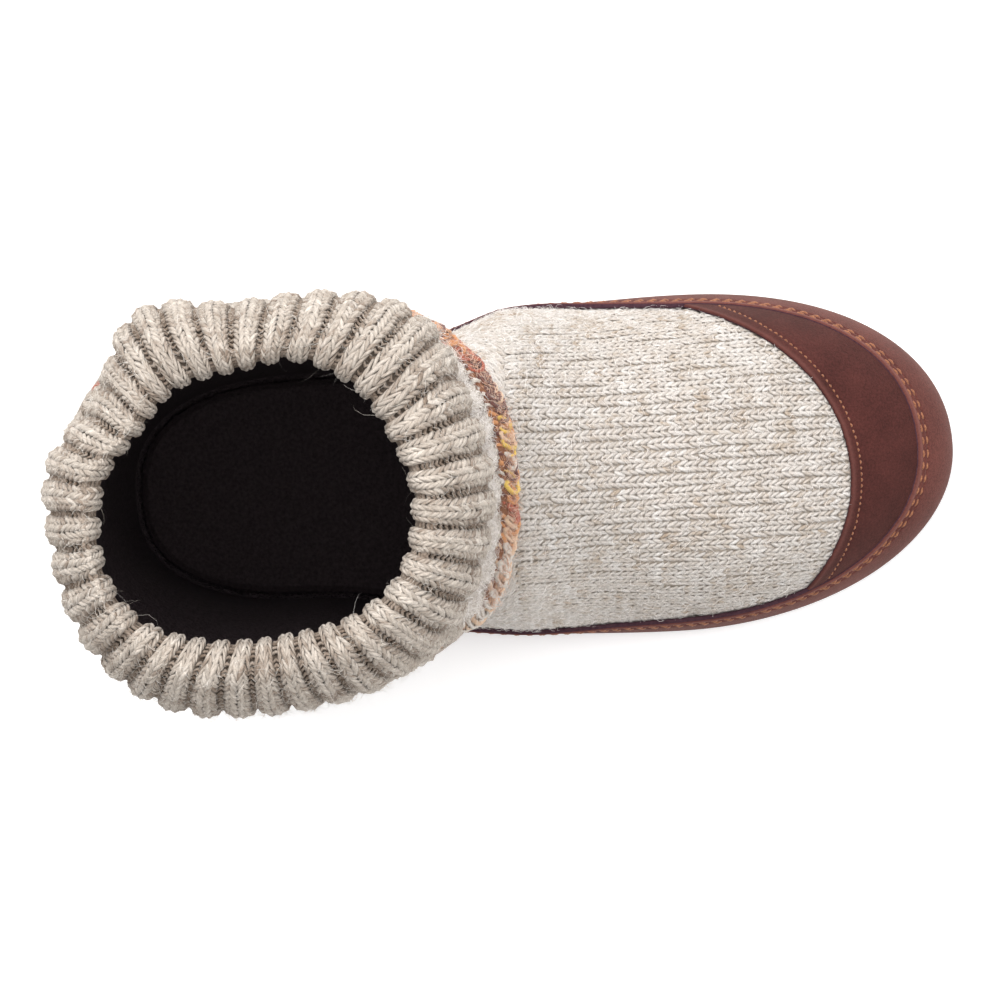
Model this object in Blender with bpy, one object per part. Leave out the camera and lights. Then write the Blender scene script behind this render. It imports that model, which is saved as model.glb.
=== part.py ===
"""Right slouch boot: knitted foot, suede toe cap and sole wrap, looped-yarn ankle band, ribbed slouching shaft.

Built in metres, +Z up. The toe points along +X and the inner (medial) side of the foot along +Y.
While it is built, X is measured from the back of the heel and Z from the floor. The last step moves the
whole boot, by its parent empty, so that the origin is under the middle of its bounding box.
"""

from math import copysign, cos, exp, pi, radians, sin

import bmesh
import bpy
import numpy as np
from mathutils import Vector

# Driving sizes of the foot
LENGTH = 0.2657
BALL_WIDTH = 0.107
HEEL_WIDTH = 0.0835
BALL_AT = 0.178
BALL_HEIGHT = 0.060
KNIT_WALL = 0.0042

# The ankle, where the foot's knitting ends in a level ring
ANKLE_AT = 0.0616
ANKLE_ASIDE = -0.0038
ANKLE_LENGTH = 0.1260
ANKLE_WIDTH = 0.1115
ANKLE_HEIGHT = 0.108
ANKLE_SLOPE = -0.10
ROUND_SQUARE = 2.45

# The looped-yarn band round the ankle
BAND_HEIGHT = 0.0085
BAND_DEPTH = 0.0062
BAND_PROUD = 0.0018

# The ribbed shaft
SHAFT_HEIGHT = 0.216
SHAFT_LENGTH = 0.1188
SHAFT_WIDTH = 0.1108
SHAFT_LEAN_X = -0.0016
SHAFT_LEAN_Y = -0.0026
SLOUCH_TILT = 0.05
SLOUCH_TURN = 35.0
FOLD_DEPTH = 0.0072
SLUMP_DEPTH = 0.0055
RIBS = 38
RIB_DEPTH = 0.0024

# The suede, the outsole and the footbed
OUTSOLE_THICK = 0.0045
OUTSOLE_RIM = 0.0008
WRAP_THICK = 0.0016
WRAP_HEIGHT = 0.0225
WRAP_TURN_IN = 0.0028
WRAP_OFF_FLOOR = 0.0008
WRAP_ROUND = 0.0006
CAP_THICK = 0.0011
CAP_APEX = 0.2295
CAP_ASIDE = -0.007
CAP_DEPTH = 0.078
CAP_HALF_WIDTH = 0.060
CAP_TAIL = 0.05
CAP_CLEAR = 0.012
INSOLE_THICK = 0.0055
INSOLE_EASE = 0.0020
INSOLE_RIM = 0.0020
TOE_SPRING = 0.0070
TOE_SPRING_FROM = 0.75
ARCH_LIFT = 0.0012
ARCH = {"from": 0.28, "risen": 0.38, "falling": 0.44, "to": 0.54}
HEEL_BEVEL = 0.0012
HEEL_BEVEL_TO = 0.05
GAP = 0.0003

# How far apart two stations are taken for a direction, and where the ankle ring is shifted to the side
STATION_STEP = 0.004
RING_SHIFT = {"from": 2.0, "full": 2.5, "fading": 3.5, "gone": 4.0}
RING_SHIFT_FULL = 0.6

SIDES = {"medial": 1, "lateral": -1}

# How the sole widens from the heel to the ball: along is the share of the way, and the others are
# shares of the difference between the heel's half width and the ball's
WAIST = (
    {"along": 0.00, "medial": 0.00, "lateral": 0.00},
    {"along": 0.30, "medial": 0.09, "lateral": 0.46},
    {"along": 0.54, "medial": 0.53, "lateral": 0.72},
    {"along": 0.76, "medial": 0.86, "lateral": 0.92},
    {"along": 1.00, "medial": 1.00, "lateral": 1.00},
)

# The line over the instep, from the ball (0) to the front of the ankle ring (1). Its first row lies in
# front of the ball, and sets the slope there
INSTEP = (
    {"along": -0.25, "rise": -0.11},
    {"along": 0.00, "rise": 0.00},
    {"along": 0.25, "rise": 0.11},
    {"along": 0.52, "rise": 0.34},
    {"along": 0.77, "rise": 0.65},
    {"along": 1.00, "rise": 1.00},
)

# The upper's section at nine stations. low and high are the curve's two handles. Each out is a share of
# the way from the top point to the sole's edge, and each rise a share of the top point's height
SECTIONS = (
    {"at": 0.0, "medial_out": 0.95, "lateral_out": 0.95, "low_rise": 0.49, "high_out": 0.58, "high_rise": 1.00},
    {"at": 0.5, "medial_out": 0.94, "lateral_out": 0.95, "low_rise": 0.50, "high_out": 0.60, "high_rise": 1.00},
    {"at": 1.0, "medial_out": 0.97, "lateral_out": 0.98, "low_rise": 0.52, "high_out": 0.62, "high_rise": 1.00},
    {"at": 1.5, "medial_out": 1.08, "lateral_out": 1.00, "low_rise": 0.52, "high_out": 0.58, "high_rise": 1.00},
    {"at": 2.0, "medial_out": 1.30, "lateral_out": 1.08, "low_rise": 0.52, "high_out": 0.76, "high_rise": 1.00},
    {"at": 2.25, "medial_out": 1.24, "lateral_out": 1.08, "low_rise": 0.52, "high_out": 0.66, "high_rise": 0.97},
    {"at": 2.5, "medial_out": 1.14, "lateral_out": 1.05, "low_rise": 0.52, "high_out": 0.66, "high_rise": 0.90},
    {"at": 3.0, "medial_out": 1.00, "lateral_out": 1.00, "low_rise": 0.52, "high_out": 0.80, "high_rise": 0.84},
    {"at": 4.0, "medial_out": 1.00, "lateral_out": 1.00, "low_rise": 0.50, "high_out": 1.70, "high_rise": 0.82},
)

# Superellipse powers of the toe and the heel in plan
TOE_ROUND = {"medial": (2.30, 2.15), "lateral": (2.00, 2.00)}
HEEL_ROUND = (2.40, 2.40)

# The shaft's profile, from the band up, over the rim and down inside. height is the share of the shaft's
# height, reach the share of its half length or half width, and ribs the share of the rib's depth. The half
# length and width pass from the ankle ring's at the hem to the shaft's own at the cuff
PROFILE = (
    {"name": "hem on the band", "height": 0.00, "reach": 0.983, "ribs": 0.6},
    {"name": "slouched roll", "height": 0.10, "reach": 1.006, "ribs": 1.0},
    {"name": "roll's top", "height": 0.25, "reach": 0.991, "ribs": 1.0},
    {"name": "under the crease", "height": 0.32, "reach": 0.966, "ribs": 1.0},
    {"name": "slouch crease", "height": 0.385, "reach": 0.948, "ribs": 1.0},
    {"name": "over the crease", "height": 0.45, "reach": 0.956, "ribs": 1.0},
    {"name": "cuff", "height": 0.61, "reach": 0.995, "ribs": 1.0},
    {"name": "cuff's widest", "height": 0.73, "reach": 1.000, "ribs": 1.0},
    {"name": "cuff's shoulder", "height": 0.85, "reach": 0.955, "ribs": 1.0},
    {"name": "turning in", "height": 0.94, "reach": 0.875, "ribs": 1.0},
    {"name": "crest", "height": 1.00, "reach": 0.760, "ribs": 0.9},
    {"name": "lip", "height": 0.97, "reach": 0.665, "ribs": 0.6},
)
INSIDE = (
    {"name": "under the lip", "height": 0.88, "reach": 0.640},
    {"name": "inside the cuff", "height": 0.74, "reach": 0.830},
    {"name": "inside the widest", "height": 0.60, "reach": 0.865},
    {"name": "inside the crease", "height": 0.375, "reach": 0.843},
    {"name": "inside the roll", "height": 0.14, "reach": 0.907},
    {"name": "inside the hem", "height": 0.00, "reach": 0.905},
)

# The reach at which a push on the lip starts and is full, and the heights where one on the cuff does
CREST_REACH = 0.80
LIP_REACH = 0.62
CUFF_FROM = 0.45
CUFF_FULL = 0.70

# Where the cuff is pushed out of round, by the angle from its front: outline moves its side and rim moves
# its lip, in shares of the deepest fold
PUSHES = (
    {"name": "front", "angle": 0, "outline": 0.10, "rim": 0.00},
    {"name": "inner front pinch", "angle": 24, "outline": -0.10, "rim": -0.35},
    {"name": "inner front swell", "angle": 48, "outline": 0.50, "rim": -0.20},
    {"name": "inner front side", "angle": 72, "outline": 0.10, "rim": 0.10},
    {"name": "inner side", "angle": 96, "outline": -0.25, "rim": -0.25},
    {"name": "inner back side", "angle": 120, "outline": 0.25, "rim": -0.40},
    {"name": "back fold", "angle": 144, "outline": -1.25, "rim": -0.70},
    {"name": "inner back", "angle": 168, "outline": -0.25, "rim": 0.00},
    {"name": "outer back", "angle": 192, "outline": -0.30, "rim": 0.30},
    {"name": "outer back swell", "angle": 216, "outline": -0.20, "rim": 0.20},
    {"name": "outer back side", "angle": 240, "outline": 0.10, "rim": -0.25},
    {"name": "outer side", "angle": 264, "outline": 0.00, "rim": -0.40},
    {"name": "outer flat", "angle": 288, "outline": -0.20, "rim": -0.55},
    {"name": "outer front side", "angle": 312, "outline": -0.35, "rim": -0.40},
    {"name": "outer front", "angle": 336, "outline": -0.25, "rim": -0.10},
    {"name": "front again", "angle": 360, "outline": 0.10, "rim": 0.00},
)

# Slumps of the slack shaft below its cuff: height and tall are shares of the shaft's height, and depth is
# a share of the deepest slump
SLUMPS = (
    {"name": "back slump", "angle": 172.0, "spread": 46.0, "height": 0.42, "tall": 0.10, "depth": -1.00},
    {"name": "inner slump", "angle": 74.0, "spread": 38.0, "height": 0.30, "tall": 0.08, "depth": -0.55},
    {"name": "outer slump", "angle": 285.0, "spread": 42.0, "height": 0.36, "tall": 0.09, "depth": -0.62},
    {"name": "front tuck", "angle": 8.0, "spread": 42.0, "height": 0.13, "tall": 0.12, "depth": -0.80},
    {"name": "inner back tuck", "angle": 141.0, "spread": 20.0, "height": 0.16, "tall": 0.16, "depth": -0.75},
    {"name": "outer back roll", "angle": 232.0, "spread": 34.0, "height": 0.16, "tall": 0.10, "depth": 0.44},
)

# How finely the curved pieces are cut
TOE_STATIONS = 9
FOREFOOT_STATIONS = 5
ANKLE_STATIONS = 8
HEEL_STATIONS = 8
WRAP_ROWS = 4
CAP_ROWS = 3
VAMP_ROWS = 5
LEAST_ROW = 0.10
LEVEL_FROM = 0.72
RIB_PHASES = (0.0, 0.18, 0.5, 0.82)
RIB_DROPS = (1.0, 0.10, 0.0, 0.10)
BAND_SECTORS = 72

COLOURS = {
    "knit": ((0.60, 0.54, 0.47, 1.0), 0.95),
    "rib_knit": ((0.50, 0.45, 0.39, 1.0), 0.95),
    "suede": ((0.105, 0.042, 0.030, 1.0), 0.85),
    "looped_yarn": ((0.62, 0.32, 0.17, 1.0), 0.95),
    "rubber": ((0.070, 0.034, 0.026, 1.0), 0.70),
    "fleece": ((0.012, 0.010, 0.010, 1.0), 0.98),
}


def read_rows(rows, key, name, at):
    """The column called name, read smoothly between rows whose key column rises."""
    xs = [row[key] for row in rows]
    ys = [row[name] for row in rows]
    at = min(max(at, xs[0]), xs[-1])
    k = max(i for i in range(len(xs) - 1) if xs[i] <= at or i == 0)
    slopes = [0.0] * len(xs)
    for i in range(1, len(xs) - 1):
        slopes[i] = (ys[i + 1] - ys[i - 1]) / (xs[i + 1] - xs[i - 1])
    span = xs[k + 1] - xs[k]
    s = (at - xs[k]) / span
    rise = (2 * s**3 - 3 * s**2 + 1) * ys[k] + (3 * s**2 - 2 * s**3) * ys[k + 1]
    lean = (s**3 - 2 * s**2 + s) * slopes[k] + (s**3 - s**2) * slopes[k + 1]
    return rise + lean * span


def smooth_step(low, high, at):
    s = min(max((at - low) / (high - low), 0.0), 1.0)
    return s * s * (3 - 2 * s)


def power(value, exponent):
    return copysign(abs(value) ** exponent, value)


def bell(offset, spread):
    return exp(-((offset / spread) ** 2))


def turn_between(a, b):
    """The smallest difference between two angles, in degrees."""
    return (a - b + 180.0) % 360.0 - 180.0


# Where the ankle ring's front meets the instep, and what is left of the length in front of the ball
ANKLE_FRONT = ANKLE_AT + ANKLE_LENGTH / 2
TOE_REACH = LENGTH - BALL_AT
UPPER_BASE = OUTSOLE_THICK + GAP
WRAP_REACH = WRAP_THICK + GAP


def sole_lift(x):
    """How far the sole's underside is off the floor: heel bevel, arch and toe spring, flat between them."""
    along = x / LENGTH
    bevel = HEEL_BEVEL * (max(HEEL_BEVEL_TO - along, 0.0) / HEEL_BEVEL_TO) ** 2
    arch = ARCH_LIFT * smooth_step(ARCH["from"], ARCH["risen"], along)
    arch *= 1 - smooth_step(ARCH["falling"], ARCH["to"], along)
    spring = TOE_SPRING * (max(along - TOE_SPRING_FROM, 0.0) / (1 - TOE_SPRING_FROM)) ** 1.6
    return bevel + arch + spring


def sole_edge(side, at):
    """The sole's outline in plan at a station: 0 toe tip, 1 ball, 2 ankle front, 3 ankle side, 4 heel back."""
    heel_half, ball_half = HEEL_WIDTH / 2, BALL_WIDTH / 2
    if at <= 1:
        n, m = TOE_ROUND[side]
        turn = at * pi / 2
        x = BALL_AT + TOE_REACH * power(cos(turn), 2 / n)
        y = ball_half * power(sin(turn), 2 / m)
    elif at <= 3:
        if at <= 2:
            x = BALL_AT + (ANKLE_FRONT - BALL_AT) * (at - 1)
        else:
            x = ANKLE_FRONT + (ANKLE_AT - ANKLE_FRONT) * (at - 2)
        along = (x - ANKLE_AT) / (BALL_AT - ANKLE_AT)
        y = heel_half + (ball_half - heel_half) * read_rows(WAIST, "along", side, along)
    else:
        n, m = HEEL_ROUND
        turn = (at - 2) * pi / 2
        x = ANKLE_AT + ANKLE_AT * power(cos(turn), 2 / n)
        y = heel_half * power(sin(turn), 2 / m)
    return Vector((x, SIDES[side] * y))


def edge_outward(side, at):
    """The outward direction of the sole's outline at a station, in plan."""
    if at < 1e-6:
        return Vector((1, 0))
    if at > 4 - 1e-6:
        return Vector((-1, 0))
    run = sole_edge(side, max(at - STATION_STEP, 0)) - sole_edge(side, min(at + STATION_STEP, 4))
    return Vector((-run.y, run.x)).normalized() * SIDES[side]


def ring_height(x):
    """The height of the foot knitting's upper edge, which slopes down to the instep."""
    return ANKLE_HEIGHT + ANKLE_SLOPE * (x - ANKLE_AT)


def ankle_ring(side, at):
    """The ring that ends the foot's knitting, from its front (station 2) round to its back (station 4)."""
    turn = (at - 2) * pi / 2
    x = ANKLE_AT + ANKLE_LENGTH / 2 * power(cos(turn), 2 / ROUND_SQUARE)
    y = ANKLE_WIDTH / 2 * power(sin(turn), 2 / ROUND_SQUARE)
    centre = ANKLE_ASIDE * smooth_step(RING_SHIFT["from"], RING_SHIFT["full"], at)
    centre *= 1 - smooth_step(RING_SHIFT["fading"], RING_SHIFT["gone"], at)
    return Vector((x, SIDES[side] * y + centre, ring_height(x)))


def instep_rise(along):
    """The height of the instep line above the ball, at a share of the way to the ankle."""
    return (ring_height(ANKLE_FRONT) - BALL_HEIGHT) * read_rows(INSTEP, "along", "rise", along)


def instep_slope(along):
    """How much the instep line climbs for each metre towards the ankle."""
    step = 0.001
    return (instep_rise(along + step) - instep_rise(along)) / (step * (BALL_AT - ANKLE_FRONT))


def top_point(side, at):
    """Where the upper's section ends: on the instep line in front of the ankle, and on the ring behind it."""
    if at >= 2:
        return ankle_ring(side, at)
    along = max(at - 1, 0)
    return Vector((BALL_AT + (ANKLE_FRONT - BALL_AT) * along, 0.0, BALL_HEIGHT + instep_rise(along)))


def handles(side, at):
    """The four points of the upper's section curve at a station."""
    foot = sole_edge(side, at) - edge_outward(side, at) * WRAP_REACH
    start = Vector((foot.x, foot.y, sole_lift(foot.x) + UPPER_BASE))
    end = top_point(side, at)
    low_out = read_rows(SECTIONS, "at", side + "_out", at)
    high_out = read_rows(SECTIONS, "at", "high_out", at)
    low = end + (start - end) * low_out
    high = end + (start - end) * high_out
    low.z = read_rows(SECTIONS, "at", "low_rise", at) * end.z + sole_lift(foot.x) * 0.5
    high.z = read_rows(SECTIONS, "at", "high_rise", at) * end.z
    if at < 1:
        high.z -= instep_slope(0.0) * (high.x - end.x)
    return start, low, high, end


def on_curve(points, t):
    a, b, c, d = points
    s = 1 - t
    return a * s**3 + b * (3 * s * s * t) + c * (3 * s * t * t) + d * t**3


def upper_outward(side, at, t):
    """The upper's outward normal. Where the knitting ends at the ankle it turns level."""
    step = 0.01
    if at < step or at > 4 - step:
        across = Vector((0, SIDES[side] if at < step else -SIDES[side], 0))
    else:
        short = min(t, 1 - step)
        across = on_curve(handles(side, at + step), short) - on_curve(handles(side, at - step), short)
    curve = handles(side, at)
    along = on_curve(curve, min(t + step, 1.0)) - on_curve(curve, max(t - step, 0.0))
    normal = (across.cross(along) * SIDES[side]).normalized()
    if at >= 2:
        level = level_outward(side, at)
        share = smooth_step(LEVEL_FROM, 1.0, t)
        normal = (normal * (1 - share) + level * share).normalized()
    return normal


def level_outward(side, at):
    """The ring's outward direction at a station, level."""
    if at < 2 + STATION_STEP:
        return Vector((1, 0, 0))
    if at > 4 - STATION_STEP:
        return Vector((-1, 0, 0))
    run = ankle_ring(side, at - STATION_STEP) - ankle_ring(side, at + STATION_STEP)
    return Vector((-run.y, run.x, 0)).normalized() * SIDES[side]


def upper_point(side, at, t, off=0.0):
    """A point on the upper's outer face, moved off it by a distance. t is 0 at the sole and 1 at the top."""
    point = on_curve(handles(side, at), t)
    if off:
        point = point + upper_outward(side, at, t) * off
    return point


def t_where(side, at, reached):
    """The lowest t at which a test of the section's point turns true, by halving. 1 if it never does."""
    curve = handles(side, at)
    low, high = 0.0, 1.0
    if not reached(on_curve(curve, high)):
        return 1.0
    for _ in range(30):
        middle = (low + high) / 2
        if reached(on_curve(curve, middle)):
            high = middle
        else:
            low = middle
    return high


def wrap_top(side, at):
    """t at the suede wrap's top edge, a set height above the sole's underside."""
    lift = sole_lift(sole_edge(side, at).x)
    return t_where(side, at, lambda p: p.z > lift + WRAP_HEIGHT)


def behind_cap(point):
    """True where a point lies behind the toe cap's curved back edge."""
    share = abs(point.y - CAP_ASIDE) / CAP_HALF_WIDTH
    if share >= 1:
        return True
    return point.x < CAP_APEX - CAP_DEPTH + CAP_DEPTH * (1 - share**2) ** 0.5


def cap_top(side, at):
    """t at the toe cap's back edge. Behind the cap it runs on, a little above the wrap."""
    return wrap_top(side, at) + max(cap_depth(side, at), LEAST_ROW)


def stations():
    """Every station round the shoe once: (side, at), down the medial side and back up the lateral one."""
    marks = [i / TOE_STATIONS for i in range(TOE_STATIONS)]
    marks += [1 + i / FOREFOOT_STATIONS for i in range(FOREFOOT_STATIONS)]
    marks += [2 + i / ANKLE_STATIONS for i in range(ANKLE_STATIONS)]
    marks += [3 + i / HEEL_STATIONS for i in range(HEEL_STATIONS)]
    down = [("medial", mark) for mark in marks] + [("medial", 4.0)]
    back = [("lateral", mark) for mark in reversed(marks[1:])]
    return down + back


def outer_rows(side, at):
    """The t of each row of the upper, so that wrap and cap meet it facet for facet."""
    wrap, cap = wrap_top(side, at), cap_top(side, at)
    rows = [wrap * i / WRAP_ROWS for i in range(WRAP_ROWS)]
    rows += [wrap + (cap - wrap) * i / CAP_ROWS for i in range(CAP_ROWS)]
    rows += [cap + (1 - cap) * i / VAMP_ROWS for i in range(VAMP_ROWS + 1)]
    return rows


def material_for(slot):
    if slot in bpy.data.materials:
        return bpy.data.materials[slot]
    colour, roughness = COLOURS[slot]
    material = bpy.data.materials.new(slot)
    material.use_nodes = True
    shader = material.node_tree.nodes["Principled BSDF"]
    shader.inputs["Base Color"].default_value = colour
    shader.inputs["Roughness"].default_value = roughness
    shader.inputs["Metallic"].default_value = 0.0
    material.diffuse_color = colour
    return material


def add_solid(name, slot, bm, frame, collection):
    """Closes a bmesh into a named solid: welded, facing out, smooth where it is round."""
    bmesh.ops.remove_doubles(bm, verts=bm.verts, dist=1e-6)
    bmesh.ops.recalc_face_normals(bm, faces=bm.faces)
    mesh = bpy.data.meshes.new(name)
    bm.to_mesh(mesh)
    bm.free()
    mesh.shade_smooth()
    mesh.set_sharp_from_angle(angle=radians(50))
    solid = bpy.data.objects.new(name, mesh)
    solid.data.materials.append(material_for(slot))
    solid.parent = frame
    collection.objects.link(solid)
    return solid


def add_grid(bm, rows, closed=True):
    """Triangles between rows of points that run round. All lean one way, so two layers lie parallel."""
    grid = [[bm.verts.new(point) for point in row] for row in rows]
    for low, high in zip(grid, grid[1:]):
        for i in range(len(low) - (0 if closed else 1)):
            j = (i + 1) % len(low)
            bm.faces.new((low[i], low[j], high[j]))
            bm.faces.new((low[i], high[j], high[i]))
    return grid


def join_rows(bm, low, high, spans=None, closed=True):
    """Faces between two rows that already have vertices, or between some spans of them."""
    count = len(low)
    for i in range(count if closed else count - 1) if spans is None else spans:
        j = (i + 1) % count
        bm.faces.new((low[i], low[j], high[j], high[i]))


def build_upper(frame, collection):
    """The knitted foot: one hollow wall, open under the foot and at the ankle ring."""
    places = stations()
    rows = [outer_rows(side, at) for side, at in places]
    count = len(rows[0])
    outer = [[upper_point(s, a, rows[k][r]) for k, (s, a) in enumerate(places)] for r in range(count)]
    kept = [0, 2] + list(range(WRAP_ROWS, count, 2))
    if kept[-1] != count - 1:
        kept.append(count - 1)
    inner = [
        [upper_point(s, a, rows[k][r], -KNIT_WALL) for k, (s, a) in enumerate(places)] for r in kept
    ]
    for k, (_, at) in enumerate(places):
        inner[0][k].z = outer[0][k].z
        if at < 2:
            inner[-1][k] = outer[-1][k] - Vector((0, 0, KNIT_WALL))
        else:
            inner[-1][k].z = ring_height(inner[-1][k].x)
    bm = bmesh.new()
    out = add_grid(bm, outer)
    into = add_grid(bm, inner)
    join_rows(bm, out[0], into[0])
    open_spans = [
        k for k in range(len(places)) if places[k][1] >= 2 and places[(k + 1) % len(places)][1] >= 2
    ]
    join_rows(bm, out[-1], into[-1], open_spans)
    return add_solid("upper", "knit", bm, frame, collection)


def build_wrap(frame, collection):
    """The suede wrap: a band round the sole's edge, from under the outsole's rim up over the knitting."""
    outer, inner = [], []
    for side, at in stations():
        top = wrap_top(side, at)
        edge, out = sole_edge(side, at), edge_outward(side, at)
        lift = sole_lift(edge.x)

        def low(inset, height):
            point = edge - out * inset
            return Vector((point.x, point.y, lift + height))

        face = [low(WRAP_TURN_IN, WRAP_OFF_FLOOR), low(WRAP_ROUND, WRAP_OFF_FLOOR + WRAP_THICK)]
        back = [low(WRAP_TURN_IN, WRAP_OFF_FLOOR + WRAP_THICK)]
        for i in range(WRAP_ROWS + 1):
            face.append(upper_point(side, at, top * i / WRAP_ROWS, WRAP_REACH))
            back.append(upper_point(side, at, top * i / WRAP_ROWS, GAP))
        outer.append(face)
        inner.append(back)
    bm = bmesh.new()
    out_rows = add_grid(bm, list(zip(*outer)))
    in_rows = add_grid(bm, list(zip(*inner)))
    join_rows(bm, out_rows[-1], in_rows[-1])
    join_rows(bm, out_rows[0], in_rows[0])
    return add_solid("sole_wrap", "suede", bm, frame, collection)


def cap_depth(side, at):
    """How far the toe cap's back edge lies above the wrap's top edge, as a share of the section."""
    return t_where(side, at, behind_cap) - wrap_top(side, at)


def cap_end(side):
    """The station where the toe cap has narrowed to its tail."""
    near, far = 0.0, 1.8
    for _ in range(30):
        middle = (near + far) / 2
        if cap_depth(side, middle) > CAP_TAIL:
            near = middle
        else:
            far = middle
    return near


def cap_places():
    """The stations that the toe cap covers, from its lateral tail round the toe to its medial one."""
    covered = {}
    for side in SIDES:
        end = cap_end(side)
        marks = [at for where, at in stations() if where == side and 0 < at < end - 0.02]
        covered[side] = [(side, at) for at in sorted(marks) + [end]]
    return covered["lateral"][::-1] + [("medial", 0.0)] + covered["medial"]


def build_toe_cap(frame, collection):
    """The suede toe cap, laid on the knitting between the wrap's top edge and the cap's curved back edge."""
    places = cap_places()
    outer, inner = [], []
    for r in range(CAP_ROWS + 1):
        above, under = [], []
        for side, at in places:
            low = wrap_top(side, at)
            t = low + max(cap_depth(side, at) * r / CAP_ROWS, CAP_CLEAR)
            above.append(upper_point(side, at, t, GAP + CAP_THICK))
            under.append(upper_point(side, at, t, GAP))
        outer.append(above)
        inner.append(under)
    bm = bmesh.new()
    out = add_grid(bm, outer, closed=False)
    into = add_grid(bm, inner, closed=False)
    join_rows(bm, out[0], into[0], closed=False)
    join_rows(bm, out[-1], into[-1], closed=False)
    for end in (0, -1):
        for r in range(CAP_ROWS):
            bm.faces.new((out[r][end], out[r + 1][end], into[r + 1][end], into[r][end]))
    return add_solid("toe_cap", "suede", bm, frame, collection)


def plate_outline(inset):
    """The sole's outline moved inwards, once round."""
    return [sole_edge(side, at) - edge_outward(side, at) * inset for side, at in stations()]


def build_plate(name, slot, insets, heights, frame, collection):
    """A plate that follows the sole's underside: rows of an inset outline at rising heights, closed flat."""
    bm = bmesh.new()
    rows = []
    for inset, height in zip(insets, heights):
        outline = plate_outline(inset)
        rows.append([Vector((p.x, p.y, sole_lift(p.x) + height)) for p in outline])
    grid = add_grid(bm, rows)
    medial = len(grid[0]) // 2
    for ring in (grid[0], grid[-1]):
        for i in range(medial):
            j, k = (-i) % len(ring), (-i - 1) % len(ring)
            corners = [ring[i], ring[i + 1], ring[k], ring[j]]
            unique = list(dict.fromkeys(corners))
            if len(unique) > 2:
                bm.faces.new(unique)
    return add_solid(name, slot, bm, frame, collection)


def build_outsole(frame, collection):
    inset = WRAP_TURN_IN + GAP
    insets = (inset + OUTSOLE_RIM, inset, inset)
    heights = (0.0, OUTSOLE_RIM, OUTSOLE_THICK)
    return build_plate("outsole", "rubber", insets, heights, frame, collection)


def build_insole(frame, collection):
    inset = WRAP_REACH + KNIT_WALL + INSOLE_EASE
    insets = (inset, inset, inset + INSOLE_RIM)
    low = OUTSOLE_THICK + GAP
    heights = (low, low + INSOLE_THICK - INSOLE_RIM, low + INSOLE_THICK)
    return build_plate("insole", "fleece", insets, heights, frame, collection)


def level_ring(angle, half_length, half_width):
    """The distance from the centre of a rounded square to its edge, at an angle in radians."""
    part = (abs(cos(angle)) / half_length) ** ROUND_SQUARE + (abs(sin(angle)) / half_width) ** ROUND_SQUARE
    return part ** (-1 / ROUND_SQUARE)


def band_point(angle, off, up):
    """A point by the ankle ring: off it level, and above the foot knitting's edge."""
    reach = level_ring(angle, ANKLE_LENGTH / 2, ANKLE_WIDTH / 2)
    reach += off
    x = ANKLE_AT + reach * cos(angle)
    return Vector((x, ring_centre_y(angle) + reach * sin(angle), ring_height(x) + up))


def ring_centre_y(angle):
    """The ring lies a little to the lateral side, but its front and back stay on the foot's middle."""
    return ANKLE_ASIDE * smooth_step(0.0, RING_SHIFT_FULL, abs(sin(angle)))


def build_band(frame, collection):
    """The looped-yarn band: a fat ring between the foot knitting's edge and the ribbed shaft."""
    section = (
        (-BAND_DEPTH + BAND_PROUD, 0.0),
        (0.0, 0.0),
        (BAND_PROUD, 0.30 * BAND_HEIGHT),
        (BAND_PROUD, 0.70 * BAND_HEIGHT),
        (0.0, BAND_HEIGHT),
        (-BAND_DEPTH + BAND_PROUD, BAND_HEIGHT),
    )
    rows = [
        [band_point(2 * pi * k / BAND_SECTORS, off, GAP + up) for k in range(BAND_SECTORS)]
        for off, up in section
    ]
    bm = bmesh.new()
    grid = add_grid(bm, rows)
    join_rows(bm, grid[-1], grid[0])
    return add_solid("ankle_band", "looped_yarn", bm, frame, collection)


def shaft_point(angle, height, reach):
    """A point of the shaft at an angle in radians, at a share of its height and of its half length or width."""
    turn = (angle * 180 / pi) % 360
    height += SLOUCH_TILT * sin(pi * height) * sin(angle + radians(SLOUCH_TURN))
    own = smooth_step(0.0, CUFF_FROM, height)
    half_length = (ANKLE_LENGTH + (SHAFT_LENGTH - ANKLE_LENGTH) * own) / 2
    half_width = (ANKLE_WIDTH + (SHAFT_WIDTH - ANKLE_WIDTH) * own) / 2
    out = level_ring(angle, half_length, half_width) * reach
    rim_share = 1 - smooth_step(LIP_REACH, CREST_REACH, reach)
    side_share = smooth_step(CUFF_FROM, CUFF_FULL, height) * (1 - rim_share)
    side_push = read_rows(PUSHES, "angle", "outline", turn) * side_share
    rim_push = read_rows(PUSHES, "angle", "rim", turn) * rim_share
    out += FOLD_DEPTH * (side_push + rim_push)
    for slump in SLUMPS:
        weight = bell(turn_between(turn, slump["angle"]), slump["spread"])
        out += SLUMP_DEPTH * slump["depth"] * weight * bell(height - slump["height"], slump["tall"])
    x = ANKLE_AT + SHAFT_LEAN_X * height + out * cos(angle)
    lean = ring_centre_y(angle) * (1 - height) + (ANKLE_ASIDE + SHAFT_LEAN_Y) * height
    y = lean + out * sin(angle)
    bottom = ring_height(x) + BAND_HEIGHT + 2 * GAP
    return Vector((x, y, bottom + (SHAFT_HEIGHT - bottom) * height))


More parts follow.
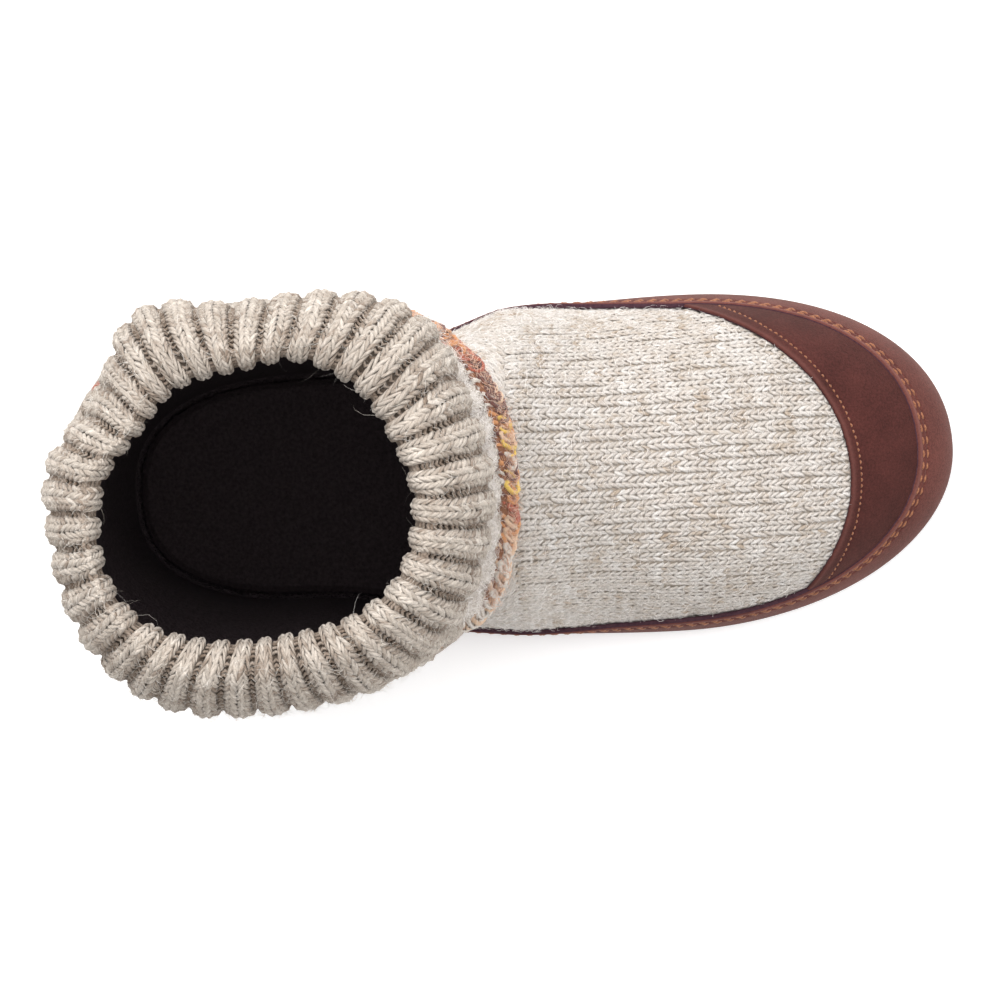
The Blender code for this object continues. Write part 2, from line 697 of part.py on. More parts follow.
def ribbed_point(angle, k, drop):
    """A point of the shaft's ribbed face at a row of the profile, let in by a drop along the face's normal.

    The hem's drop stays in the hem's own plane, so that the hem sits flat on the band."""
    row, below, above = PROFILE[k], PROFILE[max(k - 1, 0)], (PROFILE + INSIDE)[k + 1]
    point = shaft_point(angle, row["height"], row["reach"])
    up = shaft_point(angle, above["height"], above["reach"]) - shaft_point(angle, below["height"], below["reach"])
    if k == 0:
        up = Vector((-ANKLE_SLOPE, 0, 1))
    round_step = pi / RIBS
    ahead = shaft_point(angle + round_step, row["height"], row["reach"])
    behind = shaft_point(angle - round_step, row["height"], row["reach"])
    outward = (ahead - behind).cross(up).normalized()
    return point - outward * (drop * RIB_DEPTH * row["ribs"])


def build_shaft(frame, collection):
    """The ribbed shaft: ribs outside and over the rim, a plain face inside, open at both ends."""
    turns = [
        (2 * pi * (rib + phase) / RIBS, drop)
        for rib in range(RIBS)
        for phase, drop in zip(RIB_PHASES, RIB_DROPS)
    ]
    outer = [[ribbed_point(a, k, drop) for a, drop in turns] for k in range(len(PROFILE))]
    inner = [[shaft_point(a, row["height"], row["reach"]) for a, _ in turns[::2]] for row in INSIDE]
    bm = bmesh.new()
    out = add_grid(bm, outer)
    into = add_grid(bm, inner)
    for many, few in ((out[-1], into[0]), (out[0], into[-1])):
        for i in range(len(few)):
            j = (i + 1) % len(few)
            a, b, c = many[2 * i], many[2 * i + 1], many[(2 * i + 2) % len(many)]
            bm.faces.new((a, b, few[i]))
            bm.faces.new((b, c, few[j], few[i]))
    return add_solid("shaft", "rib_knit", bm, frame, collection)


def stand_at_origin(frame, solids):
    """Moves the boot so that the origin is under the middle of its bounding box."""
    corners = np.array([v.co for solid in solids for v in solid.data.vertices])
    low, high = corners.min(axis=0), corners.max(axis=0)
    frame.location = (-(low[0] + high[0]) / 2, -(low[1] + high[1]) / 2, -low[2])


def main():
    for leftover in list(bpy.data.objects):
        bpy.data.objects.remove(leftover)
    collection = bpy.data.collections.new("slouch_boot")
    bpy.context.scene.collection.children.link(collection)
    frame = bpy.data.objects.new("boot_frame", None)
    collection.objects.link(frame)
    solids = [
        build_outsole(frame, collection),
        build_insole(frame, collection),
        build_wrap(frame, collection),
        build_upper(frame, collection),
        build_toe_cap(frame, collection),
        build_band(frame, collection),
        build_shaft(frame, collection),
    ]
    stand_at_origin(frame, solids)


main()
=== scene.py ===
# %% [markdown]
# # A knitted slouch boot, seen from above
# The boot has a knitted woollen foot, a toe cap and a sole wrap of brown suede, a band of looped yarn round
# the ankle, and a ribbed shaft whose top is turned in as a thick cuff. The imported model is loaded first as
# a fixed frame. Everything below is dressed over that frame and never moves it.

# %% Load the frame
from math import cos, exp, pi, radians, sin

import bpy
import numpy as np
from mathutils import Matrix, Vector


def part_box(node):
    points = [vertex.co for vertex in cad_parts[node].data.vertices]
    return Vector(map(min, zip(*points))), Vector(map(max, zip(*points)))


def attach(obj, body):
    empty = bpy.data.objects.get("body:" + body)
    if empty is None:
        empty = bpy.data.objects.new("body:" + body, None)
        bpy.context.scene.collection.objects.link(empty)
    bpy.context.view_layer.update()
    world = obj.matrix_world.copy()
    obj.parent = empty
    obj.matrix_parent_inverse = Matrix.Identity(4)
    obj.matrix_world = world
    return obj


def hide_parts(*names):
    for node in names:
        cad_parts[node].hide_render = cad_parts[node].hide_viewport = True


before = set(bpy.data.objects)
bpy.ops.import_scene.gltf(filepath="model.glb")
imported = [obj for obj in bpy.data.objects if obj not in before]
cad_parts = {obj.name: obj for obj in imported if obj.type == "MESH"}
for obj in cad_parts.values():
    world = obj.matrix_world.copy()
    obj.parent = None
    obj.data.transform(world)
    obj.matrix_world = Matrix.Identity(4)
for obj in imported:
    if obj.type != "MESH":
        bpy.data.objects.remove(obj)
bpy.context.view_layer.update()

MM = 0.001

# %% [markdown]
# ## The last's sizes
# A bootmaker works from a last, the solid foot shape that the uppers are pulled over. The same few sizes
# and short tables that describe the last in the frame are repeated here, so that the knitting can be
# placed stitch by stitch on the same surface. Reading points off the frame's mesh would also work, but its
# facets are coarse, and a function gives a smooth surface at any fineness.

# %% Sizes and tables
LENGTH, BALL_WIDTH, HEEL_WIDTH = 265.7 * MM, 107 * MM, 83.5 * MM
BALL_AT, BALL_HEIGHT, KNIT_WALL = 178 * MM, 60 * MM, 4.2 * MM
ANKLE_AT, ANKLE_ASIDE = 61.6 * MM, -3.8 * MM
ANKLE_LENGTH, ANKLE_WIDTH = 126 * MM, 111.5 * MM
ANKLE_HEIGHT, ANKLE_SLOPE, ROUND_SQUARE = 108 * MM, -0.10, 2.45
BAND_HEIGHT = 8.5 * MM
SHAFT_HEIGHT, SHAFT_LENGTH, SHAFT_WIDTH = 216 * MM, 118.8 * MM, 110.8 * MM
SHAFT_LEAN_X, SHAFT_LEAN_Y, SLOUCH_TILT, SLOUCH_TURN = -1.6 * MM, -2.6 * MM, 0.05, 35.0
FOLD_DEPTH, SLUMP_DEPTH = 7.2 * MM, 5.5 * MM
RIBS, RIB_DEPTH = 38, 2.4 * MM
GAP, UPPER_BASE = 0.3 * MM, 4.8 * MM
WRAP_THICK, WRAP_HEIGHT, WRAP_TURN_IN, WRAP_OFF_FLOOR = 1.6 * MM, 22.5 * MM, 2.8 * MM, 0.8 * MM
CAP_THICK, CAP_APEX, CAP_ASIDE = 1.1 * MM, 229.5 * MM, -7 * MM
CAP_DEPTH, CAP_HALF_WIDTH = 78 * MM, 60 * MM
TOE_SPRING, ARCH_LIFT, HEEL_BEVEL = 7 * MM, 1.2 * MM, 1.2 * MM
ANKLE_FRONT = ANKLE_AT + ANKLE_LENGTH / 2
WRAP_REACH = WRAP_THICK + GAP
SIDES = {"medial": 1, "lateral": -1}
TOE_ROUND = {"medial": (2.30, 2.15), "lateral": (2.00, 2.00)}
HEEL_ROUND = (2.40, 2.40)

WAIST = {
    "along": (0.00, 0.30, 0.54, 0.76, 1.00),
    "medial": (0.00, 0.09, 0.53, 0.86, 1.00),
    "lateral": (0.00, 0.46, 0.72, 0.92, 1.00),
}
INSTEP = {
    "along": (-0.25, 0.00, 0.25, 0.52, 0.77, 1.00),
    "rise": (-0.11, 0.00, 0.11, 0.34, 0.65, 1.00),
}
SECTIONS = {
    "at": (0.0, 0.5, 1.0, 1.5, 2.0, 2.25, 2.5, 3.0, 4.0),
    "medial_out": (0.95, 0.94, 0.97, 1.08, 1.30, 1.24, 1.14, 1.00, 1.00),
    "lateral_out": (0.95, 0.95, 0.98, 1.00, 1.08, 1.08, 1.05, 1.00, 1.00),
    "low_rise": (0.49, 0.50, 0.52, 0.52, 0.52, 0.52, 0.52, 0.52, 0.50),
    "high_out": (0.58, 0.60, 0.62, 0.58, 0.76, 0.66, 0.66, 0.80, 1.70),
    "high_rise": (1.00, 1.00, 1.00, 1.00, 1.00, 0.97, 0.90, 0.84, 0.82),
}
PROFILE = {
    "row": (0, 1, 2, 3, 4, 5, 6, 7, 8, 9, 10, 11, 12),
    "height": (0.00, 0.10, 0.25, 0.32, 0.385, 0.45, 0.61, 0.73, 0.85, 0.94, 1.00, 0.97, 0.88),
    "reach": (0.983, 1.006, 0.991, 0.966, 0.948, 0.956, 0.995, 1.000, 0.955, 0.875, 0.760, 0.665, 0.640),
    "ribs": (0.6, 1.0, 1.0, 1.0, 1.0, 1.0, 1.0, 1.0, 1.0, 1.0, 0.95, 0.85, 0.70),
}
INSIDE = {
    "height": (0.74, 0.60, 0.375, 0.14, 0.00),
    "reach": (0.830, 0.865, 0.843, 0.907, 0.905),
}
PUSHES = {
    "angle": (0, 24, 48, 72, 96, 120, 144, 168, 192, 216, 240, 264, 288, 312, 336, 360),
    "outline": (0.1, -0.1, 0.5, 0.1, -0.25, 0.25, -1.25, -0.25, -0.3, -0.2, 0.1, 0.0, -0.2, -0.35, -0.25,
                0.1),
    "rim": (0.0, -0.35, -0.2, 0.1, -0.25, -0.4, -0.7, 0.0, 0.3, 0.2, -0.25, -0.4, -0.55, -0.4, -0.1, 0.0),
}
SLUMPS = (
    {"name": "back slump", "angle": 172.0, "spread": 46.0, "height": 0.42, "tall": 0.10, "depth": -1.00},
    {"name": "inner slump", "angle": 74.0, "spread": 38.0, "height": 0.30, "tall": 0.08, "depth": -0.55},
    {"name": "outer slump", "angle": 285.0, "spread": 42.0, "height": 0.36, "tall": 0.09, "depth": -0.62},
    {"name": "front tuck", "angle": 8.0, "spread": 42.0, "height": 0.13, "tall": 0.12, "depth": -0.80},
    {"name": "inner back tuck", "angle": 141.0, "spread": 20.0, "height": 0.16, "tall": 0.16, "depth": -0.75},
    {"name": "outer back roll", "angle": 232.0, "spread": 34.0, "height": 0.16, "tall": 0.10, "depth": 0.44},
)
wrap_low, wrap_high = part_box("sole_wrap")
ORIGIN = np.array([wrap_low.x, (wrap_low.y + wrap_high.y) / 2, 0.0])
print("heel back and middle of the ball lie at, mm:", np.round(ORIGIN / MM, 2))

# %% [markdown]
# ## Reading tables and lines
# Each table column is read with a smooth curve through its values. A plain straight-line reading would
# leave a crease in the boot at every table row. Soft troughs and ridges are built from steps and humps.

# %% Reading tables and lines
def read_rows(table, key, name, at):
    """The column called name, read smoothly where the key column has the value at."""
    xs, ys = np.array(table[key], float), np.array(table[name], float)
    slopes = np.zeros(len(xs))
    slopes[1:-1] = (ys[2:] - ys[:-2]) / (xs[2:] - xs[:-2])
    at = np.clip(at, xs[0], xs[-1])
    k = np.clip(np.searchsorted(xs, at, side="right") - 1, 0, len(xs) - 2)
    span = xs[k + 1] - xs[k]
    s = (at - xs[k]) / span
    rise = (2 * s**3 - 3 * s**2 + 1) * ys[k] + (3 * s**2 - 2 * s**3) * ys[k + 1]
    lean = (s**3 - 2 * s**2 + s) * slopes[k] + (s**3 - s**2) * slopes[k + 1]
    return rise + lean * span


def smooth_step(low, high, at):
    """0 up to low and 1 from high on, with a soft rise between them."""
    s = np.clip((at - low) / (high - low), 0.0, 1.0)
    return s * s * (3 - 2 * s)


def hump(at, middle, spread):
    """1 at the middle, falling off softly on both sides."""
    return np.exp(-(((at - middle) / spread) ** 2))


def turned_from(degrees, middle=0.0):
    """How far an angle is turned from a middle one, between -180 and 180."""
    return (degrees - middle + 180) % 360 - 180


def power(value, exponent):
    return np.sign(value) * np.abs(value) ** exponent


def unit(vectors):
    """The same directions with a length of 1."""
    return vectors / np.maximum(np.linalg.norm(vectors, axis=-1, keepdims=True), 1e-12)


def lengths_along(line):
    """How far along a line each of its points lies."""
    return np.concatenate([[0], np.cumsum(np.linalg.norm(np.diff(line, axis=0), axis=1))])


def read_line(line, gone, at):
    """Points of a line at distances along it, where gone is each known point's distance."""
    return np.stack([np.interp(at, gone, line[:, k]) for k in range(3)], axis=-1)


waists = {side: round(float(read_rows(WAIST, "along", side, 0.5)), 2) for side in SIDES}
print("share of the ball's extra width reached halfway along the waist:", waists)

# %% [markdown]
# ## The sole's outline
# Seen from above the sole is round at the toe and at the heel, with a waist on each side between them. Its
# stations have numbers: 0 at the toe's tip, 1 at the ball, 2 at the ankle's front, 3 at its side and 4 at
# the heel's back. An outline could be traced point by point, but with numbered stations one number places
# a row of knitting, suede or thread all the way up the foot.

# %% The sole's outline
def sole_lift(x):
    """How high the sole's underside is off the floor at a distance from the heel."""
    along = x / LENGTH
    bevel = HEEL_BEVEL * (np.maximum(0.05 - along, 0.0) / 0.05) ** 2
    arch = ARCH_LIFT * smooth_step(0.28, 0.38, along) * (1 - smooth_step(0.44, 0.54, along))
    return bevel + arch + TOE_SPRING * (np.maximum(along - 0.75, 0.0) / 0.25) ** 1.6


def sole_edge(side, at):
    """The sole's outline in plan: 0 toe tip, 1 ball, 2 ankle front, 3 ankle side, 4 heel back."""
    heel_half, ball_half = HEEL_WIDTH / 2, BALL_WIDTH / 2
    if at <= 1:
        n, m = TOE_ROUND[side]
        x = BALL_AT + (LENGTH - BALL_AT) * power(cos(at * pi / 2), 2 / n)
        y = ball_half * power(sin(at * pi / 2), 2 / m)
    elif at <= 3:
        if at <= 2:
            x = BALL_AT + (ANKLE_FRONT - BALL_AT) * (at - 1)
        else:
            x = ANKLE_FRONT + (ANKLE_AT - ANKLE_FRONT) * (at - 2)
        along = (x - ANKLE_AT) / (BALL_AT - ANKLE_AT)
        y = heel_half + (ball_half - heel_half) * read_rows(WAIST, "along", side, along)
    else:
        n, m = HEEL_ROUND
        x = ANKLE_AT + ANKLE_AT * power(cos((at - 2) * pi / 2), 2 / n)
        y = heel_half * power(sin((at - 2) * pi / 2), 2 / m)
    return np.array([x, SIDES[side] * y])


NUDGE = 0.004


def edge_outward(side, at):
    """The way out of the outline, found from its points a nudge before and after."""
    if at < 1e-6 or at > 4 - 1e-6:
        return np.array([1.0 if at < 1 else -1.0, 0.0])
    run = sole_edge(side, max(at - NUDGE, 0)) - sole_edge(side, min(at + NUDGE, 4))
    return unit(np.array([-run[1], run[0]])) * SIDES[side]


print("sole's length in mm:", round((sole_edge("medial", 0)[0] - sole_edge("medial", 4)[0]) / MM, 1))

# %% [markdown]
# ## The upper's section curves
# At each station one smooth curve runs from the sole up to the instep's ridge or to the ankle's opening, as
# a last maker's section templates do. Each has four handles: its two ends, and two between them that give
# the foot its fullness. Everything on the foot is placed by a station and a share t along its curve.

# %% The upper's sections
def ring_height(x):
    return ANKLE_HEIGHT + ANKLE_SLOPE * (x - ANKLE_AT)


def ankle_ring(side, at):
    turn = (at - 2) * pi / 2
    x = ANKLE_AT + ANKLE_LENGTH / 2 * power(cos(turn), 2 / ROUND_SQUARE)
    y = ANKLE_WIDTH / 2 * power(sin(turn), 2 / ROUND_SQUARE)
    centre = ANKLE_ASIDE * smooth_step(2.0, 2.5, at) * (1 - smooth_step(3.5, 4.0, at))
    return np.array([x, SIDES[side] * y + centre, ring_height(x)])


def instep_rise(along):
    """How far the instep's ridge has risen above the ball, on its way to the ankle."""
    return (ring_height(ANKLE_FRONT) - BALL_HEIGHT) * read_rows(INSTEP, "along", "rise", along)


INSTEP_SLOPE = (instep_rise(0.001) - instep_rise(0.0)) / (0.001 * (BALL_AT - ANKLE_FRONT))


def handles(side, at):
    """The four points of the upper's section curve, from the sole to the instep line or the ankle ring."""
    foot = sole_edge(side, at) - edge_outward(side, at) * WRAP_REACH
    start = np.array([foot[0], foot[1], sole_lift(foot[0]) + UPPER_BASE])
    along = max(at - 1, 0)
    ridge = np.array([BALL_AT + (ANKLE_FRONT - BALL_AT) * along, 0.0, BALL_HEIGHT + instep_rise(along)])
    end = ankle_ring(side, at) if at >= 2 else ridge
    low = end + (start - end) * read_rows(SECTIONS, "at", side + "_out", at)
    high = end + (start - end) * read_rows(SECTIONS, "at", "high_out", at)
    low[2] = read_rows(SECTIONS, "at", "low_rise", at) * end[2] + sole_lift(foot[0]) * 0.5
    high[2] = read_rows(SECTIONS, "at", "high_rise", at) * end[2]
    if at < 1:
        high[2] -= INSTEP_SLOPE * (high[0] - end[0])
    return np.array([start, low, high, end])


def on_curve(points, t):
    """Points at shares t of a curve with four handles."""
    t = np.atleast_1d(t)[:, None]
    s = 1 - t
    a, b, c, d = points
    return a * s**3 + b * (3 * s * s * t) + c * (3 * s * t * t) + d * t**3


def section_outward(side, at, t):
    """The upper's outward normals at a station. Where the knitting ends at the ankle they turn level."""
    t, step = np.atleast_1d(t), 0.01
    if at < step or at > 4 - step:
        across = np.array([[0, SIDES[side] if at < step else -SIDES[side], 0.0]])
    else:
        short = np.minimum(t, 1 - step)
        across = on_curve(handles(side, at + step), short) - on_curve(handles(side, at - step), short)
    curve = handles(side, at)
    along = on_curve(curve, np.minimum(t + step, 1)) - on_curve(curve, np.maximum(t - step, 0))
    normal = unit(np.cross(across, along) * SIDES[side])
    if at >= 2:
        if at < 2 + NUDGE or at > 4 - NUDGE:
            level = np.array([1.0 if at < 3 else -1.0, 0, 0])
        else:
            run = ankle_ring(side, at - NUDGE) - ankle_ring(side, at + NUDGE)
            level = unit(np.array([-run[1], run[0], 0])) * SIDES[side]
        share = smooth_step(0.72, 1.0, t)[:, None]
        normal = unit(normal * (1 - share) + level * share)
    return normal


def section_points(side, at, t, off=0.0):
    """Points on the upper's outer face at a station, moved off it by a distance or by one for each point."""
    t = np.atleast_1d(t)
    return on_curve(handles(side, at), t) + section_outward(side, at, t) * np.reshape(off, (-1, 1))


toe = section_points("medial", 0.0, 0.0)[0]
print("toe of the upper at, mm:", np.round((toe + ORIGIN) / MM, 1))

# %% [markdown]
# ## The shaft's face
# The shaft is a tube of knitting that slouches. Its face is worked out from an angle round the leg and a
# share of its height: a rounded ring, pushed in and out by soft folds and slumps that were placed one by one.
# A cloth simulation would give folds too, but not where the photo shows them.

# %% The shaft's face
def level_ring(angle, half_length, half_width):
    """The radius of a rounded ring at an angle."""
    part = (np.abs(np.cos(angle)) / half_length) ** ROUND_SQUARE
    part = part + (np.abs(np.sin(angle)) / half_width) ** ROUND_SQUARE
    return part ** (-1 / ROUND_SQUARE)


def ring_centre_y(angle):
    return ANKLE_ASIDE * smooth_step(0.0, 0.6, np.abs(np.sin(angle)))


def shaft_points(angle, height, reach):
    """Points of the shaft at angles in radians, at shares of its height and of its reach."""
    angle, height, reach = np.broadcast_arrays(angle, height, reach)
    turn = np.degrees(angle) % 360
    height = height + SLOUCH_TILT * np.sin(pi * height) * np.sin(angle + radians(SLOUCH_TURN))
    own = smooth_step(0.0, 0.45, height)
    half_length = (ANKLE_LENGTH + (SHAFT_LENGTH - ANKLE_LENGTH) * own) / 2
    half_width = (ANKLE_WIDTH + (SHAFT_WIDTH - ANKLE_WIDTH) * own) / 2
    out = level_ring(angle, half_length, half_width) * reach
    rim = 1 - smooth_step(0.62, 0.80, reach)
    side = smooth_step(0.45, 0.70, height) * (1 - rim)
    side_push = read_rows(PUSHES, "angle", "outline", turn) * side
    rim_push = read_rows(PUSHES, "angle", "rim", turn) * rim
    out = out + FOLD_DEPTH * (side_push + rim_push)
    for slump in SLUMPS:
        wide = hump(turned_from(turn, slump["angle"]), 0, slump["spread"])
        out = out + SLUMP_DEPTH * slump["depth"] * wide * hump(height, slump["height"], slump["tall"])
    x = ANKLE_AT + SHAFT_LEAN_X * height + out * np.cos(angle)
    y = ring_centre_y(angle) * (1 - height) + (ANKLE_ASIDE + SHAFT_LEAN_Y) * height + out * np.sin(angle)
    bottom = ring_height(x) + BAND_HEIGHT + 2 * GAP
    return np.stack([x, y, bottom + (SHAFT_HEIGHT - bottom) * height], axis=-1)


front = shaft_points(0.0, 0.5, 1.0)
print("front of the shaft, halfway up, at, mm:", np.round((front + ORIGIN) / MM, 1))

# %% [markdown]
# ## Meshes from arrays
# Thousands of stitches are one mesh, made from arrays in one go. Instances would be lighter to draw, but
# the boot is exported as plain meshes, and a joined mesh lets each stitch follow the surface and keep its
# own tone of wool. Grids, for the fabric and the suede, are rows of points that run round the boot.

# %% Mesh builders
def mesh_object(name, points, faces, tones=None, where=None):
    """An object from points and rectangular arrays of faces. tones is a dictionary of values per point."""
    mesh = bpy.data.meshes.new(name)
    corners = np.concatenate([f.ravel() for f in faces])
    sizes = np.concatenate([np.full(len(f), f.shape[1]) for f in faces])
    mesh.vertices.add(len(points))
    mesh.vertices.foreach_set("co", (points + ORIGIN).astype(np.float32).ravel())
    mesh.loops.add(len(corners))
    mesh.loops.foreach_set("vertex_index", corners.astype(np.int32))
    mesh.polygons.add(len(sizes))
    mesh.polygons.foreach_set("loop_start", np.concatenate([[0], np.cumsum(sizes)[:-1]]).astype(np.int32))
    if where is not None:
        mesh.polygons.foreach_set("material_index", where.astype(np.int32))
    mesh.update(calc_edges=True)
    mesh.validate()
    for key, values in (tones or {}).items():
        mesh.attributes.new(key, "FLOAT", "POINT").data.foreach_set("value", values.astype(np.float32))
    mesh.shade_smooth()
    piece = bpy.data.objects.new(name, mesh)
    bpy.context.scene.collection.objects.link(piece)
    return piece


def grid_faces(rows, columns, close_rows=False, close_columns=True):
    """The quads of a grid of points, whose rows may close into a tube."""
    r = np.arange(rows if close_rows else rows - 1)
    c = np.arange(columns if close_columns else columns - 1)
    r, c = np.meshgrid(r, c, indexing="ij")
    r2, c2 = (r + 1) % rows, (c + 1) % columns
    quads = np.stack([r * columns + c, r * columns + c2, r2 * columns + c2, r2 * columns + c], axis=-1)
    return quads.reshape(-1, 4)


def closed_grid(rows, close_columns=True):
    """A closed loft's quads, and the row that each begins in."""
    quads = grid_faces(*rows.shape[:2], close_rows=True, close_columns=close_columns)
    return quads, quads[:, 0] // rows.shape[1]


def dress(piece, slot, stands_for, *materials):
    """Gives a piece its materials, and lets it ride on the boot in a solid's place. slot is not used."""
    for material in materials:
        piece.data.materials.append(material)
    if stands_for:
        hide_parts(stands_for)
    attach(piece, "root")


print("a closed ring of 4 by 3 points has", len(grid_faces(4, 3, close_rows=True)), "quads")

# %% [markdown]
# ## Strands of yarn
# A stitch's leg, a purl bump and a sewing stitch are all the same thing: a short length of yarn, thin at
# both ends and bent in the middle. Each is a closed strand with three rings of points between two tips,
# which is the least that still looks round.

# %% Strands
def spindles(name, start, middle, end, normal, half_width, half_height, tones, sides=4):
    """One closed, tapered strand of yarn for each row of the arrays, bent through its middle point."""
    count = len(start)
    rings, swell = np.array([0.12, 0.5, 0.88]), np.array([0.82, 1.0, 0.82])
    handle = 2 * middle - 0.5 * (start + end)
    side = unit(np.cross(normal, end - start))
    up = unit(np.cross(end - start, side))
    turn = 2 * pi * np.arange(sides) / sides - pi / 2
    points = np.empty((count, 2 + 3 * sides, 3))
    points[:, 0], points[:, 1] = start, end
    for k, (u, fat) in enumerate(zip(rings, swell)):
        centre = start * (1 - u) ** 2 + handle * 2 * u * (1 - u) + end * u**2
        wide = side[:, None] * (np.cos(turn)[None, :, None] * (half_width * fat)[:, None, None])
        tall = up[:, None] * (np.sin(turn)[None, :, None] * (half_height * fat)[:, None, None])
        points[:, 2 + k * sides: 2 + (k + 1) * sides] = centre[:, None] + wide + tall
    i, j = np.arange(sides), (np.arange(sides) + 1) % sides
    tips = [[0, 2 + a, 2 + b] for a, b in zip(j, i)]
    tips += [[1, 2 + 2 * sides + a, 2 + 2 * sides + b] for a, b in zip(i, j)]
    bands = [[2 + k * sides + a, 2 + k * sides + b, 2 + (k + 1) * sides + b, 2 + (k + 1) * sides + a]
             for k in (0, 1) for a, b in zip(i, j)]
    offset = (np.arange(count) * (2 + 3 * sides))[:, None, None]
    tips = (np.array(tips)[None] + offset).reshape(-1, 3)
    bands = (np.array(bands)[None] + offset).reshape(-1, 4)
    spread = {key: np.repeat(values, 2 + 3 * sides) for key, values in tones.items()}
    spread["along"] = np.tile(np.concatenate([[0, 1], np.repeat(rings, sides)]), count)
    spread["round"] = np.tile(np.concatenate([[0.5, 0.5], np.tile(np.arange(sides) / sides, 3)]), count)
    piece = mesh_object(name, points.reshape(-1, 3), [tips, bands], spread)
    print(f"{name}: {count} strands, {len(tips) + 2 * len(bands)} triangles")
    return piece


# %% [markdown]
# ## Parts of a material
# Every finish here is mixed from the same few parts: a noise for grain, a ramp that turns it into colours,
# a value carried by the mesh, and a bump. Each part is a short function, so that a material reads as a
# list of what it is made of.

# %% Material parts
def new_material(name, roughness, sheen=0.0, sheen_roughness=0.5):
    material = bpy.data.materials.new(name)
    material.use_nodes = True
    shader = material.node_tree.nodes["Principled BSDF"]
    shader.inputs["Roughness"].default_value = roughness
    shader.inputs["Sheen Weight"].default_value = sheen
    shader.inputs["Sheen Roughness"].default_value = sheen_roughness
    shader.inputs["Specular IOR Level"].default_value = 0.2
    return material, material.node_tree, shader


def noise_node(tree, scale, detail=3.0, roughness=0.5, place=None):
    """Noise in the boot's own metres, or over a given place: scale is how many patches fit in one unit."""
    noise = tree.nodes.new("ShaderNodeTexNoise")
    noise.inputs["Scale"].default_value = scale
    noise.inputs["Detail"].default_value = detail
    noise.inputs["Roughness"].default_value = roughness
    place = place or tree.nodes.new("ShaderNodeTexCoord").outputs["Object"]
    tree.links.new(place, noise.inputs["Vector"])
    return noise.outputs["Fac"]


def ramp_node(tree, value, stops):
    """A colour ramp through (position, colour) stops."""
    ramp = tree.nodes.new("ShaderNodeValToRGB")
    elements = ramp.color_ramp.elements
    while len(elements) < len(stops):
        elements.new(0.5)
    for element, (position, colour) in zip(elements, stops):
        element.position = position
        element.color = (*colour, 1.0)
    tree.links.new(value, ramp.inputs["Fac"])
    return ramp.outputs["Color"]


def add_bump(tree, shader, height, distance, strength=1.0):
    bump = tree.nodes.new("ShaderNodeBump")
    bump.inputs["Distance"].default_value = distance
    bump.inputs["Strength"].default_value = strength
    tree.links.new(height, bump.inputs["Height"])
    tree.links.new(bump.outputs["Normal"], shader.inputs["Normal"])


def paint(tree, shader, colour):
    tree.links.new(colour, shader.inputs["Base Color"])


def plain_cloth(name, dark, light, scale, distance):
    """Cloth between two colours with a soft grain, for backing fabric and fleece."""
    material, tree, shader = new_material(name, 0.95)
    grain = noise_node(tree, scale, 4.0, roughness=0.65)
    paint(tree, shader, ramp_node(tree, grain, [(0.3, dark), (0.7, light)]))
    add_bump(tree, shader, grain, distance)
    return material


# The fleece is partly the lining's own dark colour and partly painted shade: it is made near black so that
# the inside of the opening looks dark.
FLEECE_GRAIN, FLEECE_PILE = 900, 0.8 * MM
fleece = plain_cloth("near black fleece as painted shade", (0.034, 0.025, 0.027), (0.064, 0.048, 0.052), FLEECE_GRAIN,
                     FLEECE_PILE)
# Painted light: a lighter copy of the fleece for the foot's inner walls, which less light reaches.
fleece_painted_lighter = plain_cloth("dark fleece lifted deep inside as painted light", (0.056, 0.042, 0.045), (0.105, 0.079, 0.086),
                          FLEECE_GRAIN, FLEECE_PILE)
print("linings:", fleece.name, "and", fleece_painted_lighter.name)

# %% [markdown]
# ## Mixing values and colours
# A finish often depends on two things at once, such as a stitch's tone and its fibres. These parts add,
# multiply and blend them. Each takes plain numbers and colours as well as the results of other parts.

# %% Mixing parts
def feed(tree, sockets, values):
    """Gives each socket its value: a number, a colour or another node's output."""
    for socket, value in zip(sockets, values):
        if isinstance(value, bpy.types.NodeSocket):
            tree.links.new(value, socket)
        else:
            socket.default_value = (*value, 1.0) if isinstance(value, tuple) else value


def mix_node(tree, blend, factor, first, second):
    mix = tree.nodes.new("ShaderNodeMix")
    mix.data_type, mix.blend_type = "RGBA", blend
    feed(tree, (mix.inputs[0], mix.inputs[6], mix.inputs[7]), (factor, first, second))
    return mix.outputs[2]


def math_node(tree, operation, *values):
    node = tree.nodes.new("ShaderNodeMath")
    node.operation = operation
    feed(tree, node.inputs, values)
    return node.outputs[0]


def attribute_node(tree, name):
    node = tree.nodes.new("ShaderNodeAttribute")
    node.attribute_name = name
    return node.outputs["Fac"]


print("a mix reads its parts from sockets 0, 6 and 7: how much, the first colour and the second")

# %% [markdown]
# ## Materials of wool
# Marled wool is spun from a light and a dark strand, so its colour wanders along the yarn. Every stitch
# carries a tone, and the material turns the tone into a colour and adds fine streaks of fibre. A picture
# of knitting would be quicker, but it would lie flat and give no real stitches at the outline.

# %% Wool
YARN_TWIST, APART = 0.7, 173.0
MARL_PATCHES, FUZZ_PATCHES = 360, 2300


def strand_place(tree, along, across):
    """A place along and round a strand, twisted as yarn is, so that noise over it runs like its fibres."""
    place = tree.nodes.new("ShaderNodeCombineXYZ")
    length, tone = attribute_node(tree, "along"), attribute_node(tree, "tone")
    twist = math_node(tree, "MULTIPLY", length, YARN_TWIST)
    turned = math_node(tree, "ADD", attribute_node(tree, "round"), twist)
    tree.links.new(math_node(tree, "MULTIPLY", length, along), place.inputs[0])
    tree.links.new(math_node(tree, "MULTIPLY", turned, across), place.inputs[1])
    tree.links.new(math_node(tree, "MULTIPLY", tone, APART), place.inputs[2])
    return place.outputs[0]


